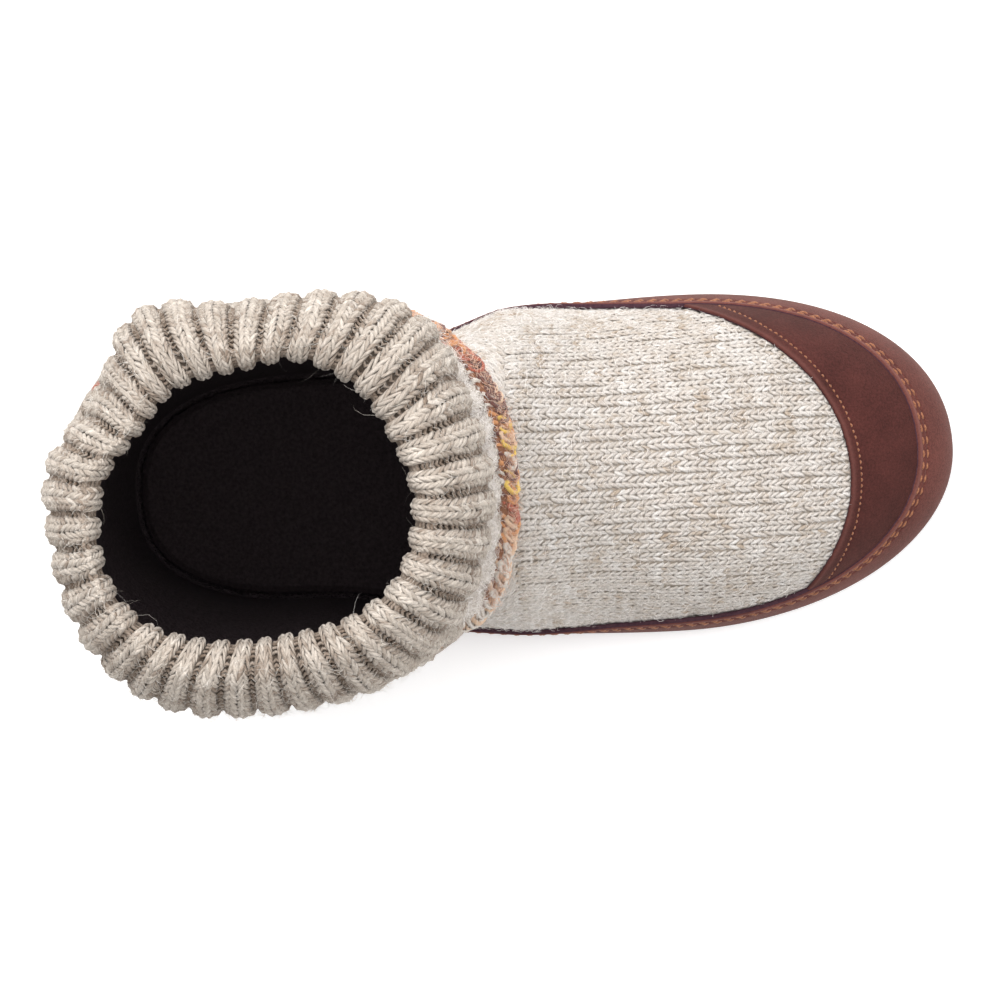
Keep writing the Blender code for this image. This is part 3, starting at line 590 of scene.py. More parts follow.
def wool(name, stops, streak, marling):
    """Marled wool: the stitch's tone picks the colour, and streaks of fibre along the strand break it up."""
    material, tree, shader = new_material(name, 1.0, sheen=0.10, sheen_roughness=0.6)
    marl = noise_node(tree, MARL_PATCHES, 4.0, roughness=0.6)
    fibre = noise_node(tree, 1.0, 3.0, roughness=0.65, place=strand_place(tree, 2.0, 4.6))
    fuzz = noise_node(tree, FUZZ_PATCHES, 2.0, roughness=0.6)
    tone = math_node(tree, "ADD", attribute_node(tree, "tone"),
                     math_node(tree, "MULTIPLY_ADD", marl, marling, -marling / 2))
    tone = math_node(tree, "ADD", tone, math_node(tree, "MULTIPLY_ADD", fibre, 0.6, -0.3))
    colour = ramp_node(tree, tone, stops)
    streaks_and_leg_shade = math_node(tree, "MULTIPLY_ADD", fibre, streak * 2, 0.66 - streak)
    streaks_and_leg_shade = math_node(tree, "MULTIPLY_ADD", fuzz, 0.68, streaks_and_leg_shade)
    grey = tree.nodes.new("ShaderNodeCombineColor")
    for socket in grey.inputs[:3]:
        tree.links.new(streaks_and_leg_shade, socket)
    paint(tree, shader, mix_node(tree, "MULTIPLY", 1.0, colour, grey.outputs[0]))
    add_bump(tree, shader, fibre, 0.25 * MM)
    return material


OATMEAL = [(0.0, (0.30, 0.215, 0.150)), (0.28, (0.44, 0.362, 0.290)), (0.5, (0.54, 0.487, 0.438)),
           (0.8, (0.62, 0.582, 0.547)), (1.0, (0.70, 0.667, 0.636))]
GREY_BEIGE = [(0.0, (0.18, 0.130, 0.095)), (0.3, (0.32, 0.258, 0.210)), (0.55, (0.445, 0.386, 0.330)),
              (0.85, (0.55, 0.488, 0.427)), (1.0, (0.63, 0.563, 0.497))]
foot_wool = wool("oatmeal marled wool", OATMEAL, 0.28, 0.7)
rib_wool = wool("grey beige marled wool", GREY_BEIGE, 0.46, 0.55)
print("materials so far:", len(bpy.data.materials))

# %% [markdown]
# ## The fabric behind the stitches
# Between the stitches one sees the yarn behind them. On the foot that is plain oatmeal cloth. Behind the
# ribs it is pale at each crest and dark in the valleys, as painted shade picked by the rib's depth, which the
# mesh carries.

# %% Backing fabrics
BACKING_GRAIN, BACKING_BUMP = 700, 0.4 * MM
foot_backing = plain_cloth("knit backing, oatmeal", (0.44, 0.37, 0.305), (0.60, 0.53, 0.46), BACKING_GRAIN,
                           BACKING_BUMP)
rib_backing, tree, shader = new_material("knit backing, grey beige, with painted valley shade", 0.95)
grain = noise_node(tree, BACKING_GRAIN, 4.0, roughness=0.65)
# Painted shade: pale at the rib's crest and dark in its valley, by the rib's valley share.
depth = math_node(tree, "ADD", attribute_node(tree, "valley"),
                  math_node(tree, "MULTIPLY_ADD", grain, 0.4, -0.2))
paint(tree, shader, ramp_node(tree, depth, [(0.05, (0.40, 0.340, 0.285)), (0.55, (0.13, 0.10, 0.078))]))
add_bump(tree, shader, grain, BACKING_BUMP)
print("backings:", foot_backing.name, "and", rib_backing.name)

# %% [markdown]
# ## The foot's fabric
# Under the stitches lies the fabric itself: an outer face a little below the stitches, and a black fleece
# lining inside, painted lighter than the other linings because less light reaches it. It is one closed
# wall, open at the ankle and under the foot. It could be left out, since the stitches cover it, but the dark
# gaps between real stitches are exactly this deeper fabric.

# %% Foot fabric
FABRIC_SINK, FABRIC_POINTS = 0.95 * MM, 40
HEM_WIDTH, HEM_DROP = 4 * MM, 0.2 * MM


def station_marks(toe, forefoot, ankle, heel):
    """Stations once round the boot: down the medial side and back up the lateral one."""
    marks = [i / toe for i in range(toe)] + [1 + i / forefoot for i in range(forefoot)]
    marks += [2 + i / ankle for i in range(ankle)] + [3 + i / heel for i in range(heel)]
    return [("medial", m) for m in marks] + [("medial", 4.0)] + [("lateral", m) for m in marks[:0:-1]]


def loft(marks, rows_at):
    """Rows of points by station: rows_at(side, at) gives one station's points, from the sole upwards."""
    return np.stack([rows_at(side, at) for side, at in marks], axis=1)


def fabric_rows(side, at):
    t = np.linspace(0, 1, FABRIC_POINTS)
    outer = section_points(side, at, t, -FABRIC_SINK)
    inner = section_points(side, at, t[::-1], -KNIT_WALL)
    if at < 2:
        ridge = on_curve(handles(side, at), 1.0)[0]
        outer[-1], inner[0] = ridge - [0, 0, FABRIC_SINK], ridge - [0, 0, KNIT_WALL]
    else:
        outer[-1][2], inner[0][2] = ring_height(outer[-1][0]), ring_height(inner[0][0])
    hem = inner[-1] - np.append(edge_outward(side, at) * HEM_WIDTH, -HEM_DROP)
    return np.concatenate([outer, inner, [hem]])


marks = station_marks(26, 14, 22, 22)
rows = loft(marks, fabric_rows)
quads, row_of = closed_grid(rows)
before_ankle = (np.array([at for _, at in marks]) < 2)[quads[:, :2] % len(marks)].any(axis=1)
keep = ~((row_of == FABRIC_POINTS - 1) & before_ankle)
lined = row_of[keep] >= FABRIC_POINTS + 2
foot_fabric = mesh_object("foot_fabric", rows.reshape(-1, 3), [quads[keep][:, ::-1]], where=lined.astype(int))
dress(foot_fabric, "knit", "upper", foot_backing, fleece_painted_lighter)
print("foot fabric faces:", len(foot_fabric.data.polygons))

# %% [markdown]
# ## The foot's stitches
# Plain knitting shows columns of nested V shapes. On this boot the columns run from the ankle to the toe,
# each V opening towards the toe. A maker counts them: a column is 3.7 mm wide, and a row 2.2 mm. Slices
# across the foot give the rows, and distances along each slice from the instep line give the columns.
# Each V is two strands of yarn, bent up in the middle and dipping under its neighbours at both ends.

# %% Slices across the foot
COLUMN, COURSE, COLUMNS = 3.7 * MM, 2.2 * MM, 40
RUN_ON = 20 * MM
down_curve, HALFWAY = np.linspace(1, 0, 81), 45
toe_marks = 1 - (1 - np.linspace(0, 1, 121)) ** 2.5
toe_t = np.linspace(1, 0, 121)
toe_grid = {side: np.stack([on_curve(handles(side, a), toe_t) for a in toe_marks]) for side in SIDES}


def slice_across(side, x):
    """The upper's outline in a plane across the foot, from the instep line down to the sole."""
    if x <= BALL_AT:
        at = 1 + (x - BALL_AT) / (ANKLE_FRONT - BALL_AT)
        return on_curve(handles(side, at), down_curve)
    points = []
    for line in toe_grid[side]:
        past = np.nonzero(line[:, 0] >= x)[0]
        if len(past):
            k = past[0]
            share = (x - line[k - 1, 0]) / (line[k, 0] - line[k - 1, 0])
            points.append(line[k - 1] + (line[k] - line[k - 1]) * share)
    return np.array(points)


def spaced_along(line, distances):
    """Points at distances along a line, running on straight past its end."""
    line = np.vstack([line, line[-1] + unit(line[-1] - line[-4]) * RUN_ON])
    gone = lengths_along(line)
    return read_line(line, gone, distances), gone[-1] - RUN_ON


def vamp_slices():
    """Slice places from the ankle to the toe cap, a course apart along the sloping instep."""
    places, x = [], ANKLE_FRONT
    while x < CAP_APEX + 4 * MM:
        places.append(x)
        ahead, here = slice_across("medial", x + MM)[0], slice_across("medial", x)[0]
        x += COURSE * cos(0.6 * np.arctan2(here[2] - ahead[2], MM))
    return places


print("rows of stitches from ankle to toe cap:", len(vamp_slices()))

# %% [markdown]
# ## Rows and columns of the foot
# The foot is knitted in four patches: the vamp and the ankle with the heel, on each side. The heel's slices
# fan out round the ankle, so their columns are squeezed or stretched to meet the vamp's.

# %% Rows and columns of the foot
def foot_stitch_grids():
    """Grids of stitch places, row by column, for the vamp and for the ankle and heel of each side."""
    grids = []
    along = (np.arange(COLUMNS) + 0.5) * COLUMN
    for side in SIDES:
        vamp = [spaced_along(slice_across(side, x), along)[0] for x in vamp_slices()]
        _, front_length = spaced_along(slice_across(side, ANKLE_FRONT), along)
        grids.append((side, "vamp", np.array(vamp)))
        dense = np.linspace(2, 4, 161)
        gone = lengths_along(np.array([on_curve(handles(side, a), down_curve)[HALFWAY] for a in dense]))
        count = int(gone[-1] / COURSE)
        heel = []
        for distance in (np.arange(count) + 0.5) * gone[-1] / count:
            line = on_curve(handles(side, np.interp(distance, gone, dense)), down_curve)
            _, length = spaced_along(line, along)
            heel.append(spaced_along(line, along * length / front_length)[0])
        grids.append((side, "heel", np.array(heel)[::-1]))
    return grids


foot_grids = foot_stitch_grids()
print("stitch rows and columns:", [(side, part, grid.shape[:2]) for side, part, grid in foot_grids])

# %% [markdown]
# ## A surface to knit on
# Stitches are laid on a surface that turns a row number and a column number into a point, so one way of
# laying them serves foot and ribs alike. Each stitch also gets a tone of wool that wanders along its row,
# from seeded random numbers, so that every run gives the same boot.

# %% Surfaces and tones
rng = np.random.default_rng(7)


def places_of(rows, columns):
    """Every row number with every column number, as two long arrays."""
    return (a.ravel().astype(float) for a in np.meshgrid(rows, columns, indexing="ij"))


def yarn_tones(rows, columns, light, spread, run=0.5):
    """Tones that wander along each row, as marled yarn does."""
    tones = rng.normal(0, 1, (rows, columns))
    for j in range(1, columns):
        tones[:, j] = run * tones[:, j - 1] + (1 - run**2) ** 0.5 * tones[:, j]
    return np.clip(light + spread * tones, 0.03, 0.95)


def grid_surface(grid):
    """A surface that reads a grid of points between its rows and columns, and straight on past its end."""
    rows, columns = grid.shape[:2]

    def surface(u, v):
        i = np.clip(np.floor(u).astype(int), 0, rows - 2)
        j = np.clip(np.floor(v).astype(int), 0, columns - 2)
        a, b = (u - i)[..., None], (v - j)[..., None]
        low = grid[i, j] * (1 - b) + grid[i, j + 1] * b
        return low * (1 - a) + (grid[i + 1, j] * (1 - b) + grid[i + 1, j + 1] * b) * a

    return surface


def outward_of(surface, u, v, hint, step=0.25, span=1.0):
    """Unit normals of a surface, turned to the same side as a hint."""
    along = surface(u + step, v) - surface(u - step, v)
    across = surface(u, v + step * span) - surface(u, v - step * span)
    normal = unit(np.cross(along, across))
    return normal * np.sign(np.sum(normal * hint, axis=-1, keepdims=True))


first_row = foot_grids[0][2][0]
print("columns lie, mm apart:", round(float(np.linalg.norm(first_row[1] - first_row[0]) / MM), 2))

# %% [markdown]
# ## Laying the stitches
# The same function lays every stitch of the boot, plain or ribbed. It reads each strand's two ends and its
# middle from the surface, so a strand at the edge of a rib rolls down with the rib. Small seeded shifts
# keep the stitches from looking stamped.

# %% Stitch laying
LEG_TOP, LEG_MIDDLE, LEG_FOOT, FLATNESS = 0.03, 0.25, 0.47, 0.66


def v_stitches(name, surface, u, v, hint, tones, opens=1, span=1.0, crest=-0.30 * MM, dip=0.55 * MM,
               girth=0.155, streaks_and_leg_shade=0.0, reach=0.86):
    """Two strands for each stitch. Each leg leans from the column's middle line out to its edge.

    opens is the way in u that the V opens, and span its column's size in v. crest is how far a leg's middle
    lies off the surface, dip how much lower its ends are, girth its half width as a share of the column,
    dusk how much darker a rib's outer legs are painted, as shade in the valleys, and reach half a leg's
    length in rows."""
    parts = []
    wander = 0.07 * np.sin(0.21 * u + 1.7 * v) + 0.05 * np.sin(0.47 * u - 2.3 * v)
    slack_u = rng.normal(0, 0.06, len(u))
    u, v = u + slack_u, v + (wander + rng.normal(0, 0.02, len(u))) * span
    width = np.linalg.norm(surface(u, v + span / 2) - surface(u, v - span / 2), axis=-1)
    for side in (-1, 1):
        long = reach + rng.normal(0, 0.05, len(u))
        normal = outward_of(surface, u, v + side * LEG_MIDDLE * span, hint, span=span)
        high = (crest + rng.normal(0, 0.07 * MM, len(u)))[:, None]
        start = surface(u - opens * long, v + side * LEG_TOP * span) + normal * (high - dip)
        middle = surface(u, v + side * LEG_MIDDLE * span) + normal * high
        end = surface(u + opens * long, v + side * LEG_FOOT * span) + normal * (high - dip * 1.15)
        fat = width * girth * rng.normal(1, 0.08, len(u))
        # Painted shade: the outer leg of each rib column, which rolls into the valley, gets a darker tone.
        outer = (side < 0) == (v % 1.0 < 0.5)
        tone = np.clip(tones + rng.normal(0, 0.06, len(u)) - streaks_and_leg_shade * outer, 0, 1.2)
        parts.append((start, middle, end, normal, fat, fat * FLATNESS, tone))
    start, middle, end, normal, wide, tall, tone = (np.concatenate(p) for p in zip(*parts))
    return spindles(name, start, middle, end, normal, wide, tall, {"tone": tone})


print("stitches to lay on the foot, at most:", sum(grid[..., 0].size for _, _, grid in foot_grids))

# %% [markdown]
# ## The foot's stitches, laid
# The stitches stop where the wrap and the cap cover them, a little inside their edges, and at the ankle's
# rim. Laying all of them and hiding the rest under the suede would be simpler, but it would add about a
# fifth to the boot's triangles.

# %% Foot stitches
UNDER_CAP, UNDER_WRAP, BELOW_RIM = 2.0 * MM, 3.5 * MM, 0.6 * MM


def behind_cap(points, margin=0.0):
    """True where a point lies behind the toe cap's curved back edge, by at least a margin."""
    share = np.minimum(np.abs(points[..., 1] - CAP_ASIDE) / CAP_HALF_WIDTH, 1.0)
    return points[..., 0] < CAP_APEX - margin - CAP_DEPTH * (1 - np.sqrt(1 - share**2))


foot_surfaces = []
for side, part, grid in foot_grids:
    rows, columns = grid.shape[:2]
    u, v = places_of(range(rows), range(columns))
    places = grid.reshape(-1, 3)
    lift = sole_lift(places[:, 0])
    shown = behind_cap(places, -UNDER_CAP) & (places[:, 2] > lift + WRAP_HEIGHT - UNDER_WRAP)
    shown &= places[:, 2] < ring_height(places[:, 0]) - BELOW_RIM
    surface = grid_surface(grid)
    hint = places - np.array([0, 0, 15 * MM])
    hint[:, 0] = np.where(part == "vamp", 0, places[:, 0] - ANKLE_AT)
    tones = yarn_tones(rows, columns, 0.60, 0.10).ravel()
    laid = surface, u[shown], v[shown], hint[shown]
    stitches = v_stitches(f"foot_stitches_{side}_{part}", *laid, tones[shown], dip=0.32 * MM, girth=0.195)
    dress(stitches, "knit", "upper", foot_wool)
    foot_surfaces.append(laid)

# %% [markdown]
# ## The ribs' shape
# Ribbing alternates raised columns with sunken ones, so it stretches round the leg. This shaft has 38
# raised ribs. They lean over the folds and bunch at the outer back, and each lean was placed one by one.
# Straight ribs would be simpler, but they would look stamped.

# %% The ribs' shape
def valley_share(phase):
    """0 on a rib's crest, at phase a half, and 1 in the valleys, at phases 0 and 1."""
    return np.abs(2 * phase - 1) ** 2.7


WANDER_TALL = 0.28
WANDERS = (
    {"name": "ribs lean over the back fold", "angle": 150.0, "spread": 26.0, "height": 0.95, "turn": -3.4},
    {"name": "ribs bunch at the outer back", "angle": 222.0, "spread": 16.0, "height": 1.00, "turn": 3.0},
    {"name": "ribs lean at the front", "angle": 35.0, "spread": 24.0, "height": 0.90, "turn": 2.2},
    {"name": "ribs lean at the outer side", "angle": 300.0, "spread": 30.0, "height": 0.90, "turn": -2.0},
    {"name": "ribs twist in the slump", "angle": 100.0, "spread": 50.0, "height": 0.35, "turn": 2.6},
    {"name": "ribs twist at the back", "angle": 250.0, "spread": 50.0, "height": 0.35, "turn": -2.6},
)


def rib_angles(phase_count, height):
    """The angle of each point round the ribs, with the ribs' hand-placed leaning."""
    angle = 2 * pi * phase_count / RIBS
    turn = np.degrees(angle)
    for wander in WANDERS:
        wide = hump(turned_from(turn, wander["angle"]), 0, wander["spread"])
        angle = angle + radians(wander["turn"]) * wide * hump(height, wander["height"], WANDER_TALL)
    return angle


def smooth_face(row, ribs_round):
    """The shaft's face without its ribs. row runs up the profile table, ribs_round counts ribs."""
    height, reach = read_rows(PROFILE, "row", "height", row), read_rows(PROFILE, "row", "reach", row)
    return shaft_points(rib_angles(ribs_round, height), height, reach)


def shaft_outward(row, ribs_round):
    up = smooth_face(row + 0.15, ribs_round) - smooth_face(row - 0.15, ribs_round)
    ahead = smooth_face(row, ribs_round + 0.3) - smooth_face(row, ribs_round - 0.3)
    return unit(np.cross(ahead, up))


def rib_surface(row, ribs_round, sink=0.0):
    """The shaft's face with its ribs, let in along its own normal by the rib's drop and by a sink."""
    drop = read_rows(PROFILE, "row", "ribs", row) * RIB_DEPTH * valley_share(ribs_round % 1.0) + sink
    return smooth_face(row, ribs_round) - shaft_outward(row, ribs_round) * drop[..., None]


wanders = [round(float(np.degrees(rib_angles(k, 0.95) - 2 * pi * k / RIBS)), 1) for k in range(0, RIBS, 6)]
print("degrees that every sixth rib leans near the crest:", wanders)

# %% [markdown]
# ## The ribbed shaft's fabric
# The shaft slouches in soft troughs and its top is folded in. So its fabric follows a profile from the
# ankle up, over the crest and down inside, where black lining takes over.

# %% Shaft fabric
RIB_FACETS, ROW_STEPS, SHAFT_FABRIC_SINK = 12, 6, 1.5 * MM
LAST_PROFILE_ROW, LINING_ROW = PROFILE["row"][-1], 11.6
across = np.arange(RIBS * RIB_FACETS) / RIB_FACETS
profile_rows = np.linspace(0, LAST_PROFILE_ROW, LAST_PROFILE_ROW * ROW_STEPS + 1)
outer = [rib_surface(np.full(len(across), r), across, SHAFT_FABRIC_SINK) for r in profile_rows]
inner = [shaft_points(2 * pi * across / RIBS, h, r) for h, r in zip(INSIDE["height"], INSIDE["reach"])]
rows = np.stack(outer + inner)
quads, row_of = closed_grid(rows)
lined = row_of >= int(LINING_ROW * ROW_STEPS)
shaft_fabric = mesh_object("shaft_fabric", rows.reshape(-1, 3), [quads],
                           {"valley": np.tile(valley_share(across % 1.0), len(rows))},
                           where=lined.astype(int))
dress(shaft_fabric, "rib_knit", "shaft", rib_backing, fleece)
print("shaft fabric faces:", len(shaft_fabric.data.polygons))

# %% [markdown]
# ## The ribs' stitches
# Each rib is two columns of plain stitches side by side. Here the V shapes point towards the opening, so
# the knitting was begun at the ankle of the shaft and turned in at the top. The columns sit left and right
# of the rib's crest, and each follows the rib's roundness, so its outer half rolls down into the valley,
# where its legs are painted darker as shade.

# %% Rib stitches
RIB_COURSE, COLUMN_SPAN = 2.15 * MM, 0.49
LAST_ROW = 11.75
guide_rows = np.linspace(0, LAST_ROW, 600)
guide_lengths = lengths_along(rib_surface(guide_rows, np.full(len(guide_rows), 0.5)))
course_count = int(guide_lengths[-1] / RIB_COURSE)


def course_row(course):
    """The profile row of a course of stitches, counted from the ankle up one crest."""
    return np.interp((course + 0.5) * guide_lengths[-1] / course_count, guide_lengths, guide_rows)


def rib_face(course, ribs_round):
    """The ribbed face by course number and ribs round the shaft."""
    return rib_surface(course_row(course), ribs_round)


columns_round = np.sort(np.concatenate([np.arange(RIBS) + 0.265, np.arange(RIBS) + 0.735]))
u, v = places_of(range(course_count - 1), columns_round)
hint = shaft_outward(course_row(u), v)
tones = yarn_tones(course_count - 1, len(columns_round), 0.60, 0.12).ravel()
medial = np.sin(2 * pi * v / RIBS) > 0
for name, half in (("inner", medial), ("outer", ~medial)):
    # The rib's outer legs are darkened as painted shade.
    stitches = v_stitches(f"rib_stitches_{name}", rib_face, u[half], v[half], hint[half], tones[half],
                          opens=-1, span=COLUMN_SPAN, crest=-0.40 * MM, dip=0.42 * MM, streaks_and_leg_shade=0.14,
                          reach=1.10)
    dress(stitches, "rib_knit", "shaft", rib_wool)

# %% [markdown]
# ## The valleys between the ribs
# Between two raised ribs runs a sunken column of purl stitches, whose bumps lie crosswise. Only their tops
# show, so each is one short strand laid over the valley, in the same wool with a low tone as painted shade.
# A smooth dark strip would do from afar, but it would look like a cut in the knitting.

# %% Valley bumps
BUMP_ENDS, BUMP_MIDDLE, BUMP_HALF = 1.1 * MM, 0.45 * MM, 0.15
u, v = places_of(range(course_count - 1), range(RIBS))
way = shaft_outward(course_row(u), v)
u = u + rng.normal(0, 0.08, len(u))
start = rib_face(u - 0.2, v - BUMP_HALF) - way * BUMP_ENDS
end = rib_face(u - 0.2, v + BUMP_HALF) - way * BUMP_ENDS
middle = rib_face(u + 0.3, v) - way * BUMP_MIDDLE
fat = rng.normal(0.60, 0.05, len(u)) * MM
# The bumps' low tone is painted shade for the valleys between the ribs.
bumps = spindles("valley_bumps", start, middle, end, way, fat, fat, {"tone": rng.normal(0.17, 0.06, len(u))})
dress(bumps, "rib_knit", "shaft", rib_wool)

# %% [markdown]
# ## Suede
# The toe cap and the wrap are cut from brown suede, a leather whose flesh side is brushed to a short nap.
# Suede doesn't shine, so it gets a rough surface, a faint sheen for the nap, and mottled patches where the
# nap lies one way or the other. Its rolled edges are painted lighter as a highlight. The cut edges show a
# darker, purplish core, and on the wrap that dark colour runs a little onto the top face as painted shade.

# %% Suede materials
# Painted highlight: the lighter colour laid along the suede's rolled rim.
RIM_HIGHLIGHT = (0.26, 0.105, 0.088)


def suede(name, dark, light):
    material, tree, shader = new_material(name, 0.95, sheen=0.08, sheen_roughness=0.45)
    patches = noise_node(tree, 65, 5.0, roughness=0.6)
    nap = noise_node(tree, 1400, 4.0, roughness=0.8)
    colour = ramp_node(tree, patches, [(0.25, dark), (0.75, light)])
    fleck = ramp_node(tree, nap, [(0.38, (0.74, 0.74, 0.74)), (0.62, (1.26, 1.22, 1.20))])
    colour = mix_node(tree, "MULTIPLY", 1.0, colour, fleck)
    # The rolled rim is mixed towards a lighter colour as a painted highlight.
    paint(tree, shader, mix_node(tree, "MIX", attribute_node(tree, "edge"), colour, RIM_HIGHLIGHT))
    shader.inputs["Sheen Tint"].default_value = (1.0, 0.75, 0.65, 1)
    height = math_node(tree, "ADD", nap, math_node(tree, "MULTIPLY", patches, 0.6))
    add_bump(tree, shader, height, 0.16 * MM)
    return material


wrap_suede_material = suede("brown suede of the wrap", (0.088, 0.026, 0.0215), (0.141, 0.045, 0.0365))
cap_suede_material = suede("brown suede of the toe cap", (0.046, 0.0127, 0.0108), (0.080, 0.0228, 0.0192))
# The cut edges' dark purplish colour is the suede's own core; on the wrap it also runs onto the top face as
# painted shade.
cut_edge_and_shade = plain_cloth("dark cut edge of the suede, with painted shade on the wrap", (0.035, 0.014, 0.022), (0.075, 0.035, 0.045), 1200, 0.1 * MM)
thread_material, tree, shader = new_material("orange brown sewing thread", 0.6, sheen=0.2)
twist = noise_node(tree, 1800, 2.0)
paint(tree, shader, ramp_node(tree, twist, [(0.3, (0.20, 0.075, 0.040)), (0.7, (0.40, 0.165, 0.080))]))
print("materials so far:", len(bpy.data.materials))

# %% [markdown]
# ## Measuring down from an edge
# A shoemaker marks rows of sewing with dividers set from the leather's edge. In the same way the distance
# from an edge is measured here along the surface, and turned back into a place on the section.

# %% Measuring down from an edge
TEST_POINTS = 401


def first_t(side, at, reached):
    """The lowest t where a test of the section's points turns true, or 1."""
    t = np.linspace(0, 1, TEST_POINTS)
    found = np.nonzero(reached(on_curve(handles(side, at), t)))[0]
    return t[found[0]] if len(found) else 1.0


def wrap_top(side, at):
    """The share of a section at which the wrap ends."""
    lift = sole_lift(sole_edge(side, at)[0])
    return first_t(side, at, lambda p: p[:, 2] > lift + WRAP_HEIGHT)


def section_lengths(side, at, top):
    """t along a section up to its top, and each t's distance from the top, along the surface."""
    t = np.linspace(0, top, 70)
    gone = lengths_along(on_curve(handles(side, at), t))
    return t, gone[-1] - gone


def t_below(side, at, top, distance):
    t, below = section_lengths(side, at, top)
    return np.interp(-np.asarray(distance), -below, t)


def edge_round(below, thick, radius):
    """The face's height over the surface under it, rounding off to nothing at the cut edge."""
    s = np.clip(below / radius, 0, 1)
    return GAP + thick * (0.35 + 0.65 * np.sqrt(np.clip(1 - (1 - s) ** 2, 0, 1)))


tops = {side: round(float(wrap_top(side, 1.0)), 2) for side in SIDES}
print("the wrap ends at these shares of the section at the ball:", tops)

# %% [markdown]
# ## The sole wrap
# The wrap is one strip of suede, lasted up round the foot's edge and sewn down with two rows of stitching
# near its top. The thread pulls a shallow channel into the leather, and the top edge is rounded. Rows of
# points are spaced closely where the channels lie, and widely below them, which a plain grid would not do.

# %% Wrap
WRAP_STITCH_ROWS = (2.6 * MM, 4.3 * MM)
FINE_ZONE = 6.2 * MM
WRAP_CHANNEL, WRAP_ROLL = 0.28 * MM, 0.10 * MM
TURNED_UNDER = (
    {"inset": 2.8, "height": 0.8}, {"inset": 1.4, "height": 0.8}, {"inset": 0.7, "height": 1.1},
    {"inset": 0.25, "height": 1.9}, {"inset": 0.05, "height": 3.0},
)
edge_steps = np.concatenate([[0, 0.12, 0.3, 0.55, 0.85], np.arange(1.2, 6.21, 0.25)]) * MM
WIDE_STEPS, INNER_STEPS = 14, 8


def wrap_rows(side, at):
    top = wrap_top(side, at)
    t, below = section_lengths(side, at, top)
    wide_steps = np.linspace(below[0], FINE_ZONE + 0.5 * MM, WIDE_STEPS)
    steps = np.concatenate([wide_steps, edge_steps[::-1]])
    t_row = np.interp(-steps, -below, t)
    off = edge_round(steps, WRAP_THICK, 0.8 * MM)
    for row in WRAP_STITCH_ROWS:
        off = off - WRAP_CHANNEL * hump(steps, row, 0.42 * MM)
    off = off + WRAP_ROLL * hump(steps, 1.2 * MM, 0.7 * MM)
    edge, out = sole_edge(side, at), edge_outward(side, at)
    under = []
    for step in TURNED_UNDER:
        place = edge - out * step["inset"] * MM
        under.append([place[0], place[1], sole_lift(edge[0]) + step["height"] * MM])
    inner = section_points(side, at, np.linspace(top, 0, INNER_STEPS), GAP)
    place = edge - out * WRAP_TURN_IN
    last = [[place[0], place[1], sole_lift(edge[0]) + WRAP_OFF_FLOOR + WRAP_THICK]]
    return np.concatenate([under, section_points(side, at, t_row, off), inner, last])


marks = station_marks(60, 40, 44, 44)
rows = loft(marks, wrap_rows)
quads, row_of = closed_grid(rows)
cut_row = len(TURNED_UNDER) + WIDE_STEPS + len(edge_steps) - 1
# Painted highlight: the colour lightens along the wrap's rolled rim, just below the cut edge.
rim_highlight = 0.55 * hump(np.arange(len(rows)), cut_row - 7, 3.0)
# Painted shade: the dark edge colour also covers the wrap's top face for its last 0.3 mm.
cut = (row_of >= cut_row - 2) & (row_of < cut_row + INNER_STEPS)
wrap_suede = mesh_object("wrap_suede", rows.reshape(-1, 3), [quads[:, ::-1]],
                         {"edge": np.repeat(rim_highlight, rows.shape[1])}, where=cut.astype(int))
dress(wrap_suede, "suede", "sole_wrap", wrap_suede_material, cut_edge_and_shade)
print("wrap faces:", len(wrap_suede.data.polygons))

# %% [markdown]
# ## The toe cap
# The cap lies on the knitting and runs down under the wrap. Its curved back edge is part of an ellipse in
# plan, and one row of stitches follows that edge 3 mm inside it.

# %% Cap
CAP_STITCH_IN, CAP_CHANNEL = 3.0 * MM, 0.22 * MM
CAP_EDGE_STEPS = np.array([4.4, 4.0, 3.6, 3.3, 3.0, 2.7, 2.4, 2.0, 1.5, 1.0, 0.6, 0.3, 0.1, 0]) * MM
CAP_WIDE_STEPS, CAP_END_DEPTH = 16, 0.004


def beyond_cap_edge(points, margin):
    """True behind a curve that runs a margin inside the cap, along its back edge."""
    share = np.minimum(np.abs(points[..., 1] - CAP_ASIDE) / (CAP_HALF_WIDTH + margin), 1.0)
    return points[..., 0] < CAP_APEX - CAP_DEPTH + (CAP_DEPTH + margin) * np.sqrt(1 - share**2)


def cap_last_station(side):
    """The first station, going back from the toe, where the cap is all but hidden by the wrap."""
    stations = np.linspace(0.2, 1.8, 161)
    return next(s for s in stations if first_t(side, s, behind_cap) - wrap_top(side, s) < CAP_END_DEPTH)


def cap_stations(count):
    """Stations round the cap's edge, from its lateral end over the toe to its medial end."""
    lateral = [("lateral", at) for at in np.linspace(ends["lateral"], 0, count)]
    return lateral + [("medial", at) for at in np.linspace(0, ends["medial"], count)[1:]]


def cap_rows_at(side, at):
    low = max(wrap_top(side, at) - 0.05, 0)
    rear = max(first_t(side, at, behind_cap), low + 0.02)
    t, below = section_lengths(side, at, rear)
    length = np.interp(low, t, below)
    fine = np.minimum(CAP_EDGE_STEPS, length * np.linspace(0.97, 0, len(CAP_EDGE_STEPS)))
    wide = np.linspace(length, fine[0] + (length - fine[0]) * 0.06, CAP_WIDE_STEPS)
    steps = np.concatenate([wide, fine])
    t_row = np.interp(-steps, -below, t)
    groove_t = first_t(side, at, lambda p: beyond_cap_edge(p, CAP_STITCH_IN))
    groove = np.interp(groove_t, t, below)
    off = edge_round(steps, CAP_THICK, 0.6 * MM) - CAP_CHANNEL * hump(steps, groove, 0.45 * MM)
    inner = section_points(side, at, t_row[::-6], GAP)
    return np.concatenate([section_points(side, at, t_row, off), inner])


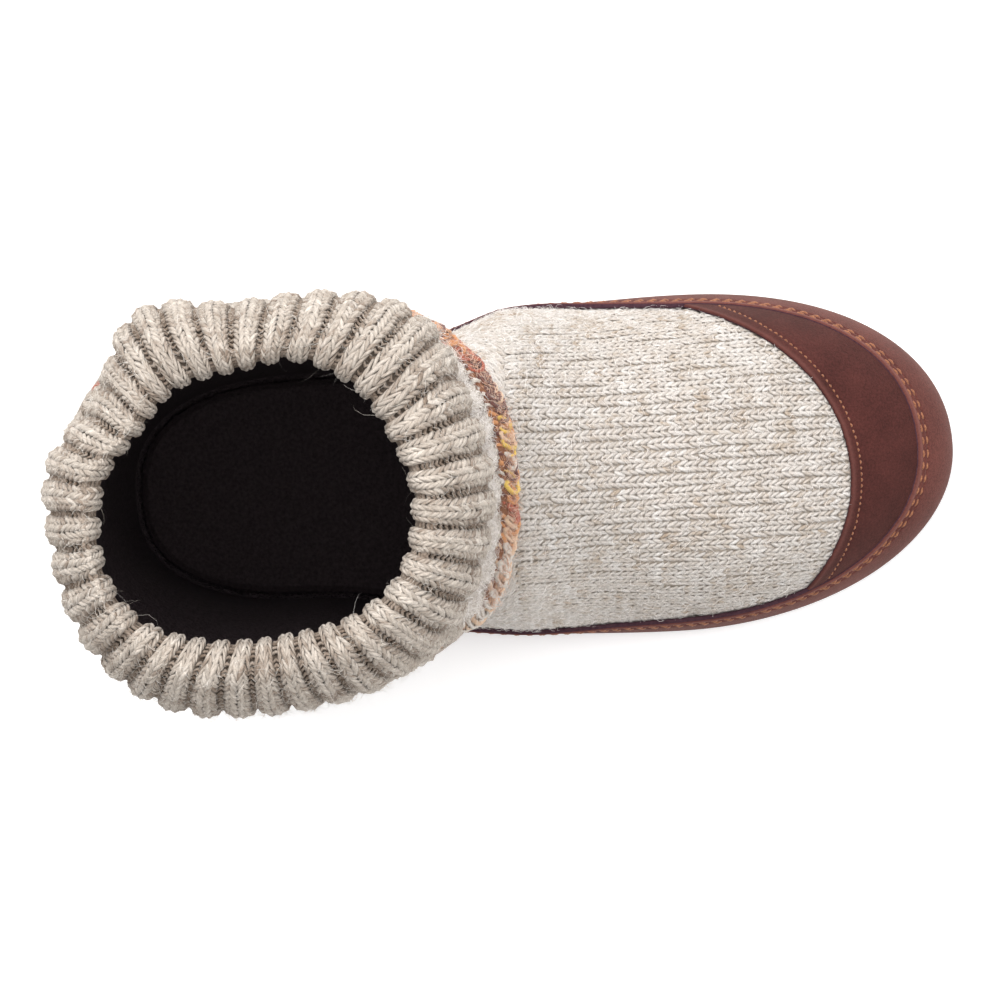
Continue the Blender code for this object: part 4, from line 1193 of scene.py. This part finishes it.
ends = {side: cap_last_station(side) for side in SIDES}
rows = loft(cap_stations(90), cap_rows_at)
quads, row_of = closed_grid(rows, close_columns=False)
cut_row = CAP_WIDE_STEPS + len(CAP_EDGE_STEPS) - 1
# Painted highlight along the cap's rolled rim, just inside its cut edge.
rim_highlight = 0.25 * hump(np.arange(len(rows)), cut_row - 3, 2.0)
cut = (row_of >= cut_row) & (row_of <= cut_row + 1)
cap_suede = mesh_object("cap_suede", rows.reshape(-1, 3), [quads[:, ::-1]],
                        {"edge": np.repeat(rim_highlight, rows.shape[1])}, where=cut.astype(int))
dress(cap_suede, "suede", "toe_cap", cap_suede_material, cut_edge_and_shade)
print("cap ends at stations", {side: round(float(at), 2) for side, at in ends.items()})

# %% [markdown]
# ## Sewing thread
# Each visible stitch of the sewing is a short length of thread that dives into the leather at both ends.
# The stitches are spaced evenly along their row, so the row is first measured and then cut into lengths.

# %% Threads
def thread_row(points, normals, count, fat, closed=True):
    """The stitches of one row of sewing: a count of even lengths along a line of points."""
    line = np.vstack([points, points[:1]]) if closed else points
    normals = np.vstack([normals, normals[:1]]) if closed else normals
    gone = lengths_along(line)
    begin, step = np.arange(count) * gone[-1] / count, gone[-1] / count
    parts = []
    for share, off in ((0.10, -0.35 * MM), (0.45, 0.12 * MM), (0.80, -0.35 * MM)):
        along = begin + step * share + rng.normal(0, 0.03 * step, len(begin))
        normal = unit(read_line(normals, gone, along))
        parts.append(read_line(line, gone, along) + normal * off)
    return (*parts, normal, np.full(count, fat))


WRAP_STITCHES, CAP_STITCHES, THREAD_SINK = 154, 58, 0.1 * MM
stitch_rows = []
wrap_marks = station_marks(120, 80, 80, 80)
for distance in WRAP_STITCH_ROWS:
    tops = [(side, at, t_below(side, at, wrap_top(side, at), distance)) for side, at in wrap_marks]
    places = np.array([section_points(side, at, t, WRAP_REACH - THREAD_SINK)[0] for side, at, t in tops])
    ways = np.array([section_outward(side, at, t)[0] for side, at, t in tops])
    stitch_rows.append(thread_row(places, ways, WRAP_STITCHES, 0.46 * MM))
cap_line, cap_ways = [], []
for side, at in cap_stations(150):
    t = first_t(side, at, lambda p: beyond_cap_edge(p, CAP_STITCH_IN))
    if t > wrap_top(side, at) + CAP_END_DEPTH:
        cap_line.append(section_points(side, at, t, GAP + CAP_THICK - THREAD_SINK)[0])
        cap_ways.append(section_outward(side, at, t)[0])
stitch_rows.append(thread_row(np.array(cap_line), np.array(cap_ways), CAP_STITCHES, 0.34 * MM, closed=False))
start, middle, end, normal, fat = (np.concatenate(parts) for parts in zip(*stitch_rows))
threads = spindles("threads", start, middle, end, normal, fat, fat * 0.9, {"tone": rng.random(len(start))})
dress(threads, "looped_yarn", None, thread_material)

# %% [markdown]
# ## The looped-yarn band
# Loop yarn, which knitters call boucle, curls back on itself all along its length, and this one is dyed
# in short runs of brown, orange, red, yellow and pale peach. It could be thousands of separate loops. It
# is closer to the real thing as a few long curly strands, whose colours change along the way.

# %% Colours and strands of the band
YARN = {
    "brown": (0.17, 0.075, 0.062), "orange": (0.66, 0.31, 0.14), "red": (0.44, 0.13, 0.08),
    "yellow": (0.84, 0.58, 0.14), "peach": (0.76, 0.54, 0.38), "tan": (0.46, 0.25, 0.14),
    "pale": (0.74, 0.67, 0.60),
}
RUNS = (  # each from an angle in degrees to another, with the yarns that lie there
    (-62, -40, ("tan", "orange")), (-40, -19, ("pale", "peach")), (-19, -10.5, ("peach", "orange")),
    (-10.5, -7.5, ("red",)), (-7.5, -4, ("orange", "brown")), (-4, -1, ("yellow", "pale")),
    (-1, 2, ("brown", "orange")), (2, 5, ("pale", "brown")), (5, 9, ("yellow", "orange")),
    (9, 11, ("peach", "brown")), (11, 14.5, ("yellow", "orange")), (14.5, 18.5, ("brown", "orange")),
    (18.5, 29, ("peach", "brown", "pale")), (29, 32, ("orange", "tan")), (32, 36, ("red", "brown")),
    (36, 42, ("orange", "red")), (42, 46, ("tan", "brown")), (46, 56, ("orange", "brown")),
)
BAND_STRANDS = ({"up": 1.4, "off": 0.0}, {"up": 3.4, "off": 0.5}, {"up": 5.4, "off": 0.7},
                {"up": 7.2, "off": 0.6}, {"up": 7.4, "off": -1.6})
print("yarns in the band:", len(YARN), "in", len(RUNS), "runs of colour")

# %% [markdown]
# ## Places and colours round the band
# A place on the band is an angle round the ankle, a distance off it and a height. Where the cuff hides the
# band from above, its colours are picked at random, because the photo doesn't show them.

# %% Places and colours round the band
def band_points(angle, off, up):
    """Points round the ankle ring, moved off it and up."""
    reach = level_ring(angle, ANKLE_LENGTH / 2, ANKLE_WIDTH / 2) + off
    x = ANKLE_AT + reach * np.cos(angle)
    return np.stack([x, ring_centre_y(angle) + reach * np.sin(angle), ring_height(x) + GAP + up], axis=-1)


def tucked_away(angle):
    """1 where the cuff hangs over the band and hides it, and 0 in front, where the band shows."""
    turned = turned_from(np.degrees(angle))
    return 1 - smooth_step(-46, -30, turned) * (1 - smooth_step(58, 78, turned))


def yarn_colour(degrees, strand):
    """The dyed colour at an angle: from the runs in front, and at random elsewhere."""
    for start, end, yarns in RUNS:
        if start <= degrees < end:
            return YARN[yarns[(strand + 1) % len(yarns)]]
    names = ("brown", "orange", "tan", "peach", "red", "pale", "yellow")
    return YARN[names[int(rng.integers(len(names)))]]


print("share of the band tucked away:", round(float(tucked_away(np.linspace(0, 2 * pi, 361)).mean()), 2))

# %% [markdown]
# ## Winding the loop yarn
# Each strand runs once round the ankle and curls as it goes: in and out, up and down, and back on itself.
# Slow waves and seeded noise keep the curls from matching. Where the cuff hides the band from above, the
# strands are pulled in, so that no loop shows past the cuff.

# %% Loop yarn
LOOP_PITCH, LOOP_SIZE, YARN_THICK = 2.7 * MM, 1.6 * MM, 0.62 * MM
LOOP_POINTS, YARN_SIDES, LOOP_TUCK, DYE_STEP = 11, 5, 4.2, 3.2


def tube(points, fat, sides, outward):
    """Points and quads of a closed tube of yarn round a ring of points."""
    ahead = unit(np.roll(points, -1, axis=0) - np.roll(points, 1, axis=0))
    side = unit(np.cross(outward, ahead))
    up = unit(np.cross(ahead, side))
    turn = 2 * pi * np.arange(sides) / sides
    ring = side[:, None] * np.cos(turn)[None, :, None] + up[:, None] * np.sin(turn)[None, :, None]
    return points[:, None] + ring * fat[:, None, None], grid_faces(len(points), sides, close_rows=True)


parts, faces, colours, offset = [], [], [], 0
girth = pi * (ANKLE_LENGTH + ANKLE_WIDTH) / 2
loops = int(girth / LOOP_PITCH)
s = np.arange(loops * LOOP_POINTS) / (loops * LOOP_POINTS)
for strand, row in enumerate(BAND_STRANDS):
    drift = np.cumsum(rng.normal(0, 1, len(s)))
    drift = 0.05 * (drift - drift[-1] * s)
    curl = 2 * pi * (loops * s + drift)
    size = LOOP_SIZE * (1 + 0.25 * np.sin(2 * pi * 31 * s + strand) + rng.normal(0, 0.05, len(s)))
    angle = 2 * pi * s + 1.10 * size / (girth / (2 * pi)) * np.sin(curl)
    off = (row["off"] - LOOP_TUCK * tucked_away(2 * pi * s)) * MM + 0.95 * size * np.cos(curl + 0.6)
    up = row["up"] * MM + 0.85 * size * np.sin(curl + 2.0 + strand)
    centre = band_points(angle, off, up)
    outward = unit(np.stack([np.cos(angle), np.sin(angle), 0 * angle], axis=-1))
    fat = YARN_THICK * (1 + 0.3 * np.sin(2 * pi * 57 * s) + rng.normal(0, 0.1, len(s)))
    points, quads = tube(centre, fat, YARN_SIDES, outward)
    parts.append(points.reshape(-1, 3))
    faces.append(quads + offset)
    offset += len(parts[-1])
    runs = np.round(turned_from(np.degrees(2 * pi * s)) / DYE_STEP) * DYE_STEP
    run_colours = {r: yarn_colour(r, strand) for r in np.unique(runs)}
    colours.append(np.repeat(np.array([run_colours[r] for r in runs]), YARN_SIDES, axis=0))
band_loops = mesh_object("band_loops", np.concatenate(parts), [np.concatenate(faces)])
dye = band_loops.data.attributes.new("dye", "FLOAT_COLOR", "POINT")
dyed = np.concatenate(colours)
dye.data.foreach_set("color", np.column_stack([dyed, np.ones(len(dyed))]).astype(np.float32).ravel())
yarn_material, tree, shader = new_material("dyed loop yarn", 0.95, sheen=0.4)
dye_node = tree.nodes.new("ShaderNodeAttribute")
dye_node.attribute_name = "dye"
fluff = noise_node(tree, 2200, 4.0, roughness=0.7)
shade = ramp_node(tree, fluff, [(0.3, (0.75, 0.75, 0.75)), (0.7, (1.15, 1.15, 1.15))])
paint(tree, shader, mix_node(tree, "MULTIPLY", 1.0, dye_node.outputs["Color"], shade))
add_bump(tree, shader, fluff, 0.25 * MM)
dress(band_loops, "looped_yarn", "ankle_band", yarn_material)
print("band loops:", len(band_loops.data.polygons), "quads")

# %% [markdown]
# ## The band's core
# Behind the curls lies the band they are sewn to, a flat ring with a rounded face. Without it one could
# look between the loops into the boot. Its inner face is lined with fleece like the shaft.

# %% Band core
CORE_BACK, CORE_TUCK, CORE_POINTS = -4.2, 3.3 * MM, 144
CORE_SECTION = ((CORE_BACK, 0.2), (-0.8, 0.2), (0.2, 2.4), (0.2, 6.0), (-0.8, 8.4), (CORE_BACK, 8.4))
core_angles = 2 * pi * np.arange(CORE_POINTS) / CORE_POINTS
tuck = CORE_TUCK * tucked_away(core_angles)
core = np.stack([band_points(core_angles, np.maximum(off * MM - tuck, CORE_BACK * MM), up * MM)
                 for off, up in CORE_SECTION])
quads, row_of = closed_grid(core)
core_cloth = plain_cloth("brown core of the band", (0.17, 0.075, 0.050), (0.34, 0.17, 0.10), 800, 0.4 * MM)
lined = row_of == len(CORE_SECTION) - 1
band_core = mesh_object("band_core", core.reshape(-1, 3), [quads], where=lined.astype(int))
dress(band_core, "looped_yarn", "ankle_band", core_cloth, fleece)
print("band core:", len(band_core.data.polygons), "quads")

# %% [markdown]
# ## Loose fibres
# Wool is hairy. Fine fibres stand off the knitting, blur its outline and soften its stitches, and a few
# long ones hang over the opening. Hair curves would be the usual tool, but the boot is exported as meshes,
# so each fibre is a very thin ribbon that tapers to a tip.

# %% Fibres
def fibres(name, roots, outward, length, thick, stand, material, slot):
    """Bent, tapered ribbons at the roots: stand is how much they rise, 0 lying flat and 1 upright."""
    count = len(roots)
    flat = unit(np.cross(outward, rng.normal(size=(count, 3))))
    way = unit(flat + outward * (stand * rng.random(count))[:, None])
    side = unit(np.cross(way, rng.normal(size=(count, 3))))
    bend = (side * rng.normal(0, 0.30, (count, 1)) + outward * (0.10 + 0.2 * stand)) * length[:, None]
    points = np.empty((count, 7, 3))
    for k, (share, fat) in enumerate(((0.0, 1.0), (0.4, 0.9), (0.75, 0.6))):
        centre = roots + way * (length * share)[:, None] + bend * share * (1 - share) * 2
        points[:, 2 * k] = centre - side * thick * fat
        points[:, 2 * k + 1] = centre + side * thick * fat
    points[:, 6] = roots + way * length[:, None]
    offset = (np.arange(count) * 7)[:, None, None]
    bands = (np.array([[[0, 1, 3, 2], [2, 3, 5, 4]]]) + offset).reshape(-1, 4)
    tips = (np.array([[[4, 5, 6]]]) + offset).reshape(-1, 3)
    piece = mesh_object(name, points.reshape(-1, 3), [tips, bands], {"tone": np.repeat(rng.random(count), 7)})
    dress(piece, slot, None, material)
    print(f"{name}: {count} fibres, {5 * count} triangles")


def rib_roots(count, low, high, centre, spread):
    """Places on the ribbed face, between two shares of its courses, and round it about a centre angle."""
    courses = rng.uniform(low, high, count) * course_count
    around = (centre + rng.uniform(-spread, spread, count)) / 360 * RIBS
    ways = shaft_outward(course_row(courses), around)
    return rib_face(courses, around) - ways * 0.4 * MM, ways


def fibre_wool(name, dark, light):
    material, tree, shader = new_material(name, 0.9, sheen=0.5)
    paint(tree, shader, ramp_node(tree, attribute_node(tree, "tone"), [(0.0, dark), (1.0, light)]))
    return material


pale = fibre_wool("pale loose fibres", (0.50, 0.44, 0.37), (0.80, 0.76, 0.71))
peach = fibre_wool("peach loose fibres", (0.62, 0.32, 0.20), (0.80, 0.62, 0.50))
# Painted light: these fibres are brighter than the wool so that the halo and the foot's fuzz read as lit.
painted_lit_fibres = fibre_wool("loose fibres painted bright as lit", (0.74, 0.68, 0.64), (0.92, 0.88, 0.85))
RIB_FIBRES = (
    {"name": "cuff_fibres", "count": 15000, "courses": (0.2, 0.90), "around": (0.0, 180.0),
     "length": (1.2, 4.0), "thick": 0.036, "stand": 0.8, "wool": pale},
    {"name": "front_halo", "count": 5000, "courses": (0.10, 0.55), "around": (4.0, 38.0),
     "length": (2.0, 5.5), "thick": 0.055, "stand": 0.9, "wool": painted_lit_fibres},
    {"name": "long_fibres", "count": 120, "courses": (0.75, 0.98), "around": (0.0, 180.0),
     "length": (3, 8), "thick": 0.02, "stand": 1.0, "wool": pale},
)
for kind in RIB_FIBRES:
    roots, ways = rib_roots(kind["count"], *kind["courses"], *kind["around"])
    lengths = rng.uniform(*kind["length"], len(roots)) * MM
    fibres(kind["name"], roots, ways, lengths, kind["thick"] * MM, kind["stand"], kind["wool"], "rib_knit")

# %% [markdown]
# ## Fibres of the foot and the band
# The foot's fibres lie nearly flat, because the foot is pulled tight over its last. The band's stand off
# and are peach, as its yarn is. They grow only in front, where the cuff doesn't cover the band.

# %% Fibres of the foot and the band
FOOT_FIBRES, BAND_FIBRES = 14000, 3000
roots, ways = [], []
for surface, u, v, hint in foot_surfaces:
    pick = rng.integers(len(u), size=FOOT_FIBRES // len(foot_surfaces))
    a, b = u[pick] + rng.uniform(-0.5, 0.5, len(pick)), v[pick] + rng.uniform(-0.5, 0.5, len(pick))
    ways.append(outward_of(surface, a, b, hint[pick]))
    roots.append(surface(a, b) + ways[-1] * 0.05 * MM)
roots, ways = np.concatenate(roots), np.concatenate(ways)
fibres("foot_fibres", roots, ways, rng.uniform(1.2, 3.6, len(roots)) * MM, 0.06 * MM, 0.30, painted_lit_fibres, "knit")
turn = radians(1) * rng.uniform(-32, 58, BAND_FIBRES)
ways = unit(np.stack([np.cos(turn), np.sin(turn), 0.5 + 0 * turn], axis=-1))
roots = band_points(turn, rng.uniform(-2, 1.5, BAND_FIBRES) * MM, rng.uniform(4, 9, BAND_FIBRES) * MM)
lengths = rng.uniform(1.5, 4.0, BAND_FIBRES) * MM
fibres("band_fibres", roots, ways, lengths, 0.07 * MM, 1.0, peach, "looped_yarn")

# %% [markdown]
# ## Inside and underneath
# The insole is covered with the same black fleece as the lining. The outsole is thin brown rubber with a
# fine pebbled tread. Both keep the frame's own shape and only get a finish.

# %% Insole and outsole
rubber_material, tree, shader = new_material("brown rubber with a pebbled tread", 0.65)
cells_place = tree.nodes.new("ShaderNodeTexCoord")
cells = tree.nodes.new("ShaderNodeTexVoronoi")
cells.inputs["Scale"].default_value = 330
tree.links.new(cells_place.outputs["Object"], cells.inputs["Vector"])
wear = noise_node(tree, 40, 4.0)
paint(tree, shader, ramp_node(tree, wear, [(0.3, (0.050, 0.024, 0.018)), (0.7, (0.085, 0.043, 0.032))]))
add_bump(tree, shader, cells.outputs["Distance"], 0.5 * MM)
for node, material in (("insole", fleece), ("outsole", rubber_material)):
    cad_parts[node].data.materials.clear()
    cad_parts[node].data.materials.append(material)
    print(node, "is finished in", material.name)

# %% [markdown]
# ## Camera
# The photo looks straight down on the boot, with the toe to the right and the boot turned a few degrees.
# The camera keeps that angle, a metre above the floor. Its lens is set from the width that it sees there.

# %% Camera
CAMERA_HEIGHT, CAMERA_ROLL, FRAME_WIDTH, SENSOR = 1.0, 3.6, 0.32045, 36
camera_data = bpy.data.cameras.new("camera")
camera_data.sensor_width = SENSOR
camera_data.lens = SENSOR * CAMERA_HEIGHT / FRAME_WIDTH
camera = bpy.data.objects.new("camera", camera_data)
bpy.context.scene.collection.objects.link(camera)
camera.location = np.array([121.5 * MM, -8.26 * MM, CAMERA_HEIGHT]) + ORIGIN
camera.rotation_euler = (0, 0, -radians(CAMERA_ROLL))
bpy.context.scene.camera = camera
print("camera looks straight down from", CAMERA_HEIGHT, "m")

# %% [markdown]
# ## Floor and light
# The floor is plain and pale, and glows a little, as a white sweep does when it is lit from behind. The
# main light is large and soft, from the inner side, with one overhead and a weak one from the toe. One
# small lamp would give hard shadows, which the photo doesn't have.

# %% Floor and light
FLOOR_HALF = 3.0
floor = mesh_object("floor", np.array([[-1, -1, 0], [1, -1, 0], [1, 1, 0], [-1, 1, 0]]) * FLOOR_HALF,
                    [np.array([[0, 1, 2, 3]])])
floor_material, tree, shader = new_material("plain pale floor", 0.9)
shader.inputs["Base Color"].default_value = (0.93, 0.93, 0.93, 1)
shader.inputs["Emission Color"].default_value = (1.0, 1.0, 1.0, 1)
shader.inputs["Emission Strength"].default_value = 0.30
floor.data.materials.append(floor_material)

LIGHTS = (
    {"name": "key from the inner heel side", "place": (-0.35, 0.85, 1.15), "size": 1.0, "watts": 18.5},
    {"name": "overhead fill", "place": (0.05, 0.0, 1.7), "size": 1.2, "watts": 13.5},
    {"name": "weak fill from the toe", "place": (0.95, 0.10, 0.9), "size": 0.8, "watts": 4},
)
for item in LIGHTS:
    data = bpy.data.lights.new(item["name"], "AREA")
    data.shape, data.size, data.energy = "DISK", item["size"], item["watts"]
    lamp = bpy.data.objects.new(item["name"], data)
    bpy.context.scene.collection.objects.link(lamp)
    lamp.location = item["place"]
    towards = -lamp.location.copy()
    towards.z += 0.08
    lamp.rotation_euler = towards.to_track_quat("-Z", "Y").to_euler()
world = bpy.data.worlds.new("studio")
world.use_nodes = True
world.node_tree.nodes["Background"].inputs["Color"].default_value = (1, 1, 1, 1)
world.node_tree.nodes["Background"].inputs["Strength"].default_value = 0.40
bpy.context.scene.world = world
bpy.context.scene.view_settings.view_transform = "Standard"
print("lights, in watts:", {item["name"]: item["watts"] for item in LIGHTS})

# %% [markdown]
# ## Count the triangles
# The triangles of every drawn piece are counted and printed, in all and for the largest piece.

# %% Sizes and end
drawn = [piece for piece in bpy.context.scene.objects if piece.type == "MESH"]
counts = {piece.name: sum(len(face.vertices) - 2 for face in piece.data.polygons) for piece in drawn}
print("triangles in all:", sum(counts.values()), "and at most in one piece:", max(counts.values()))
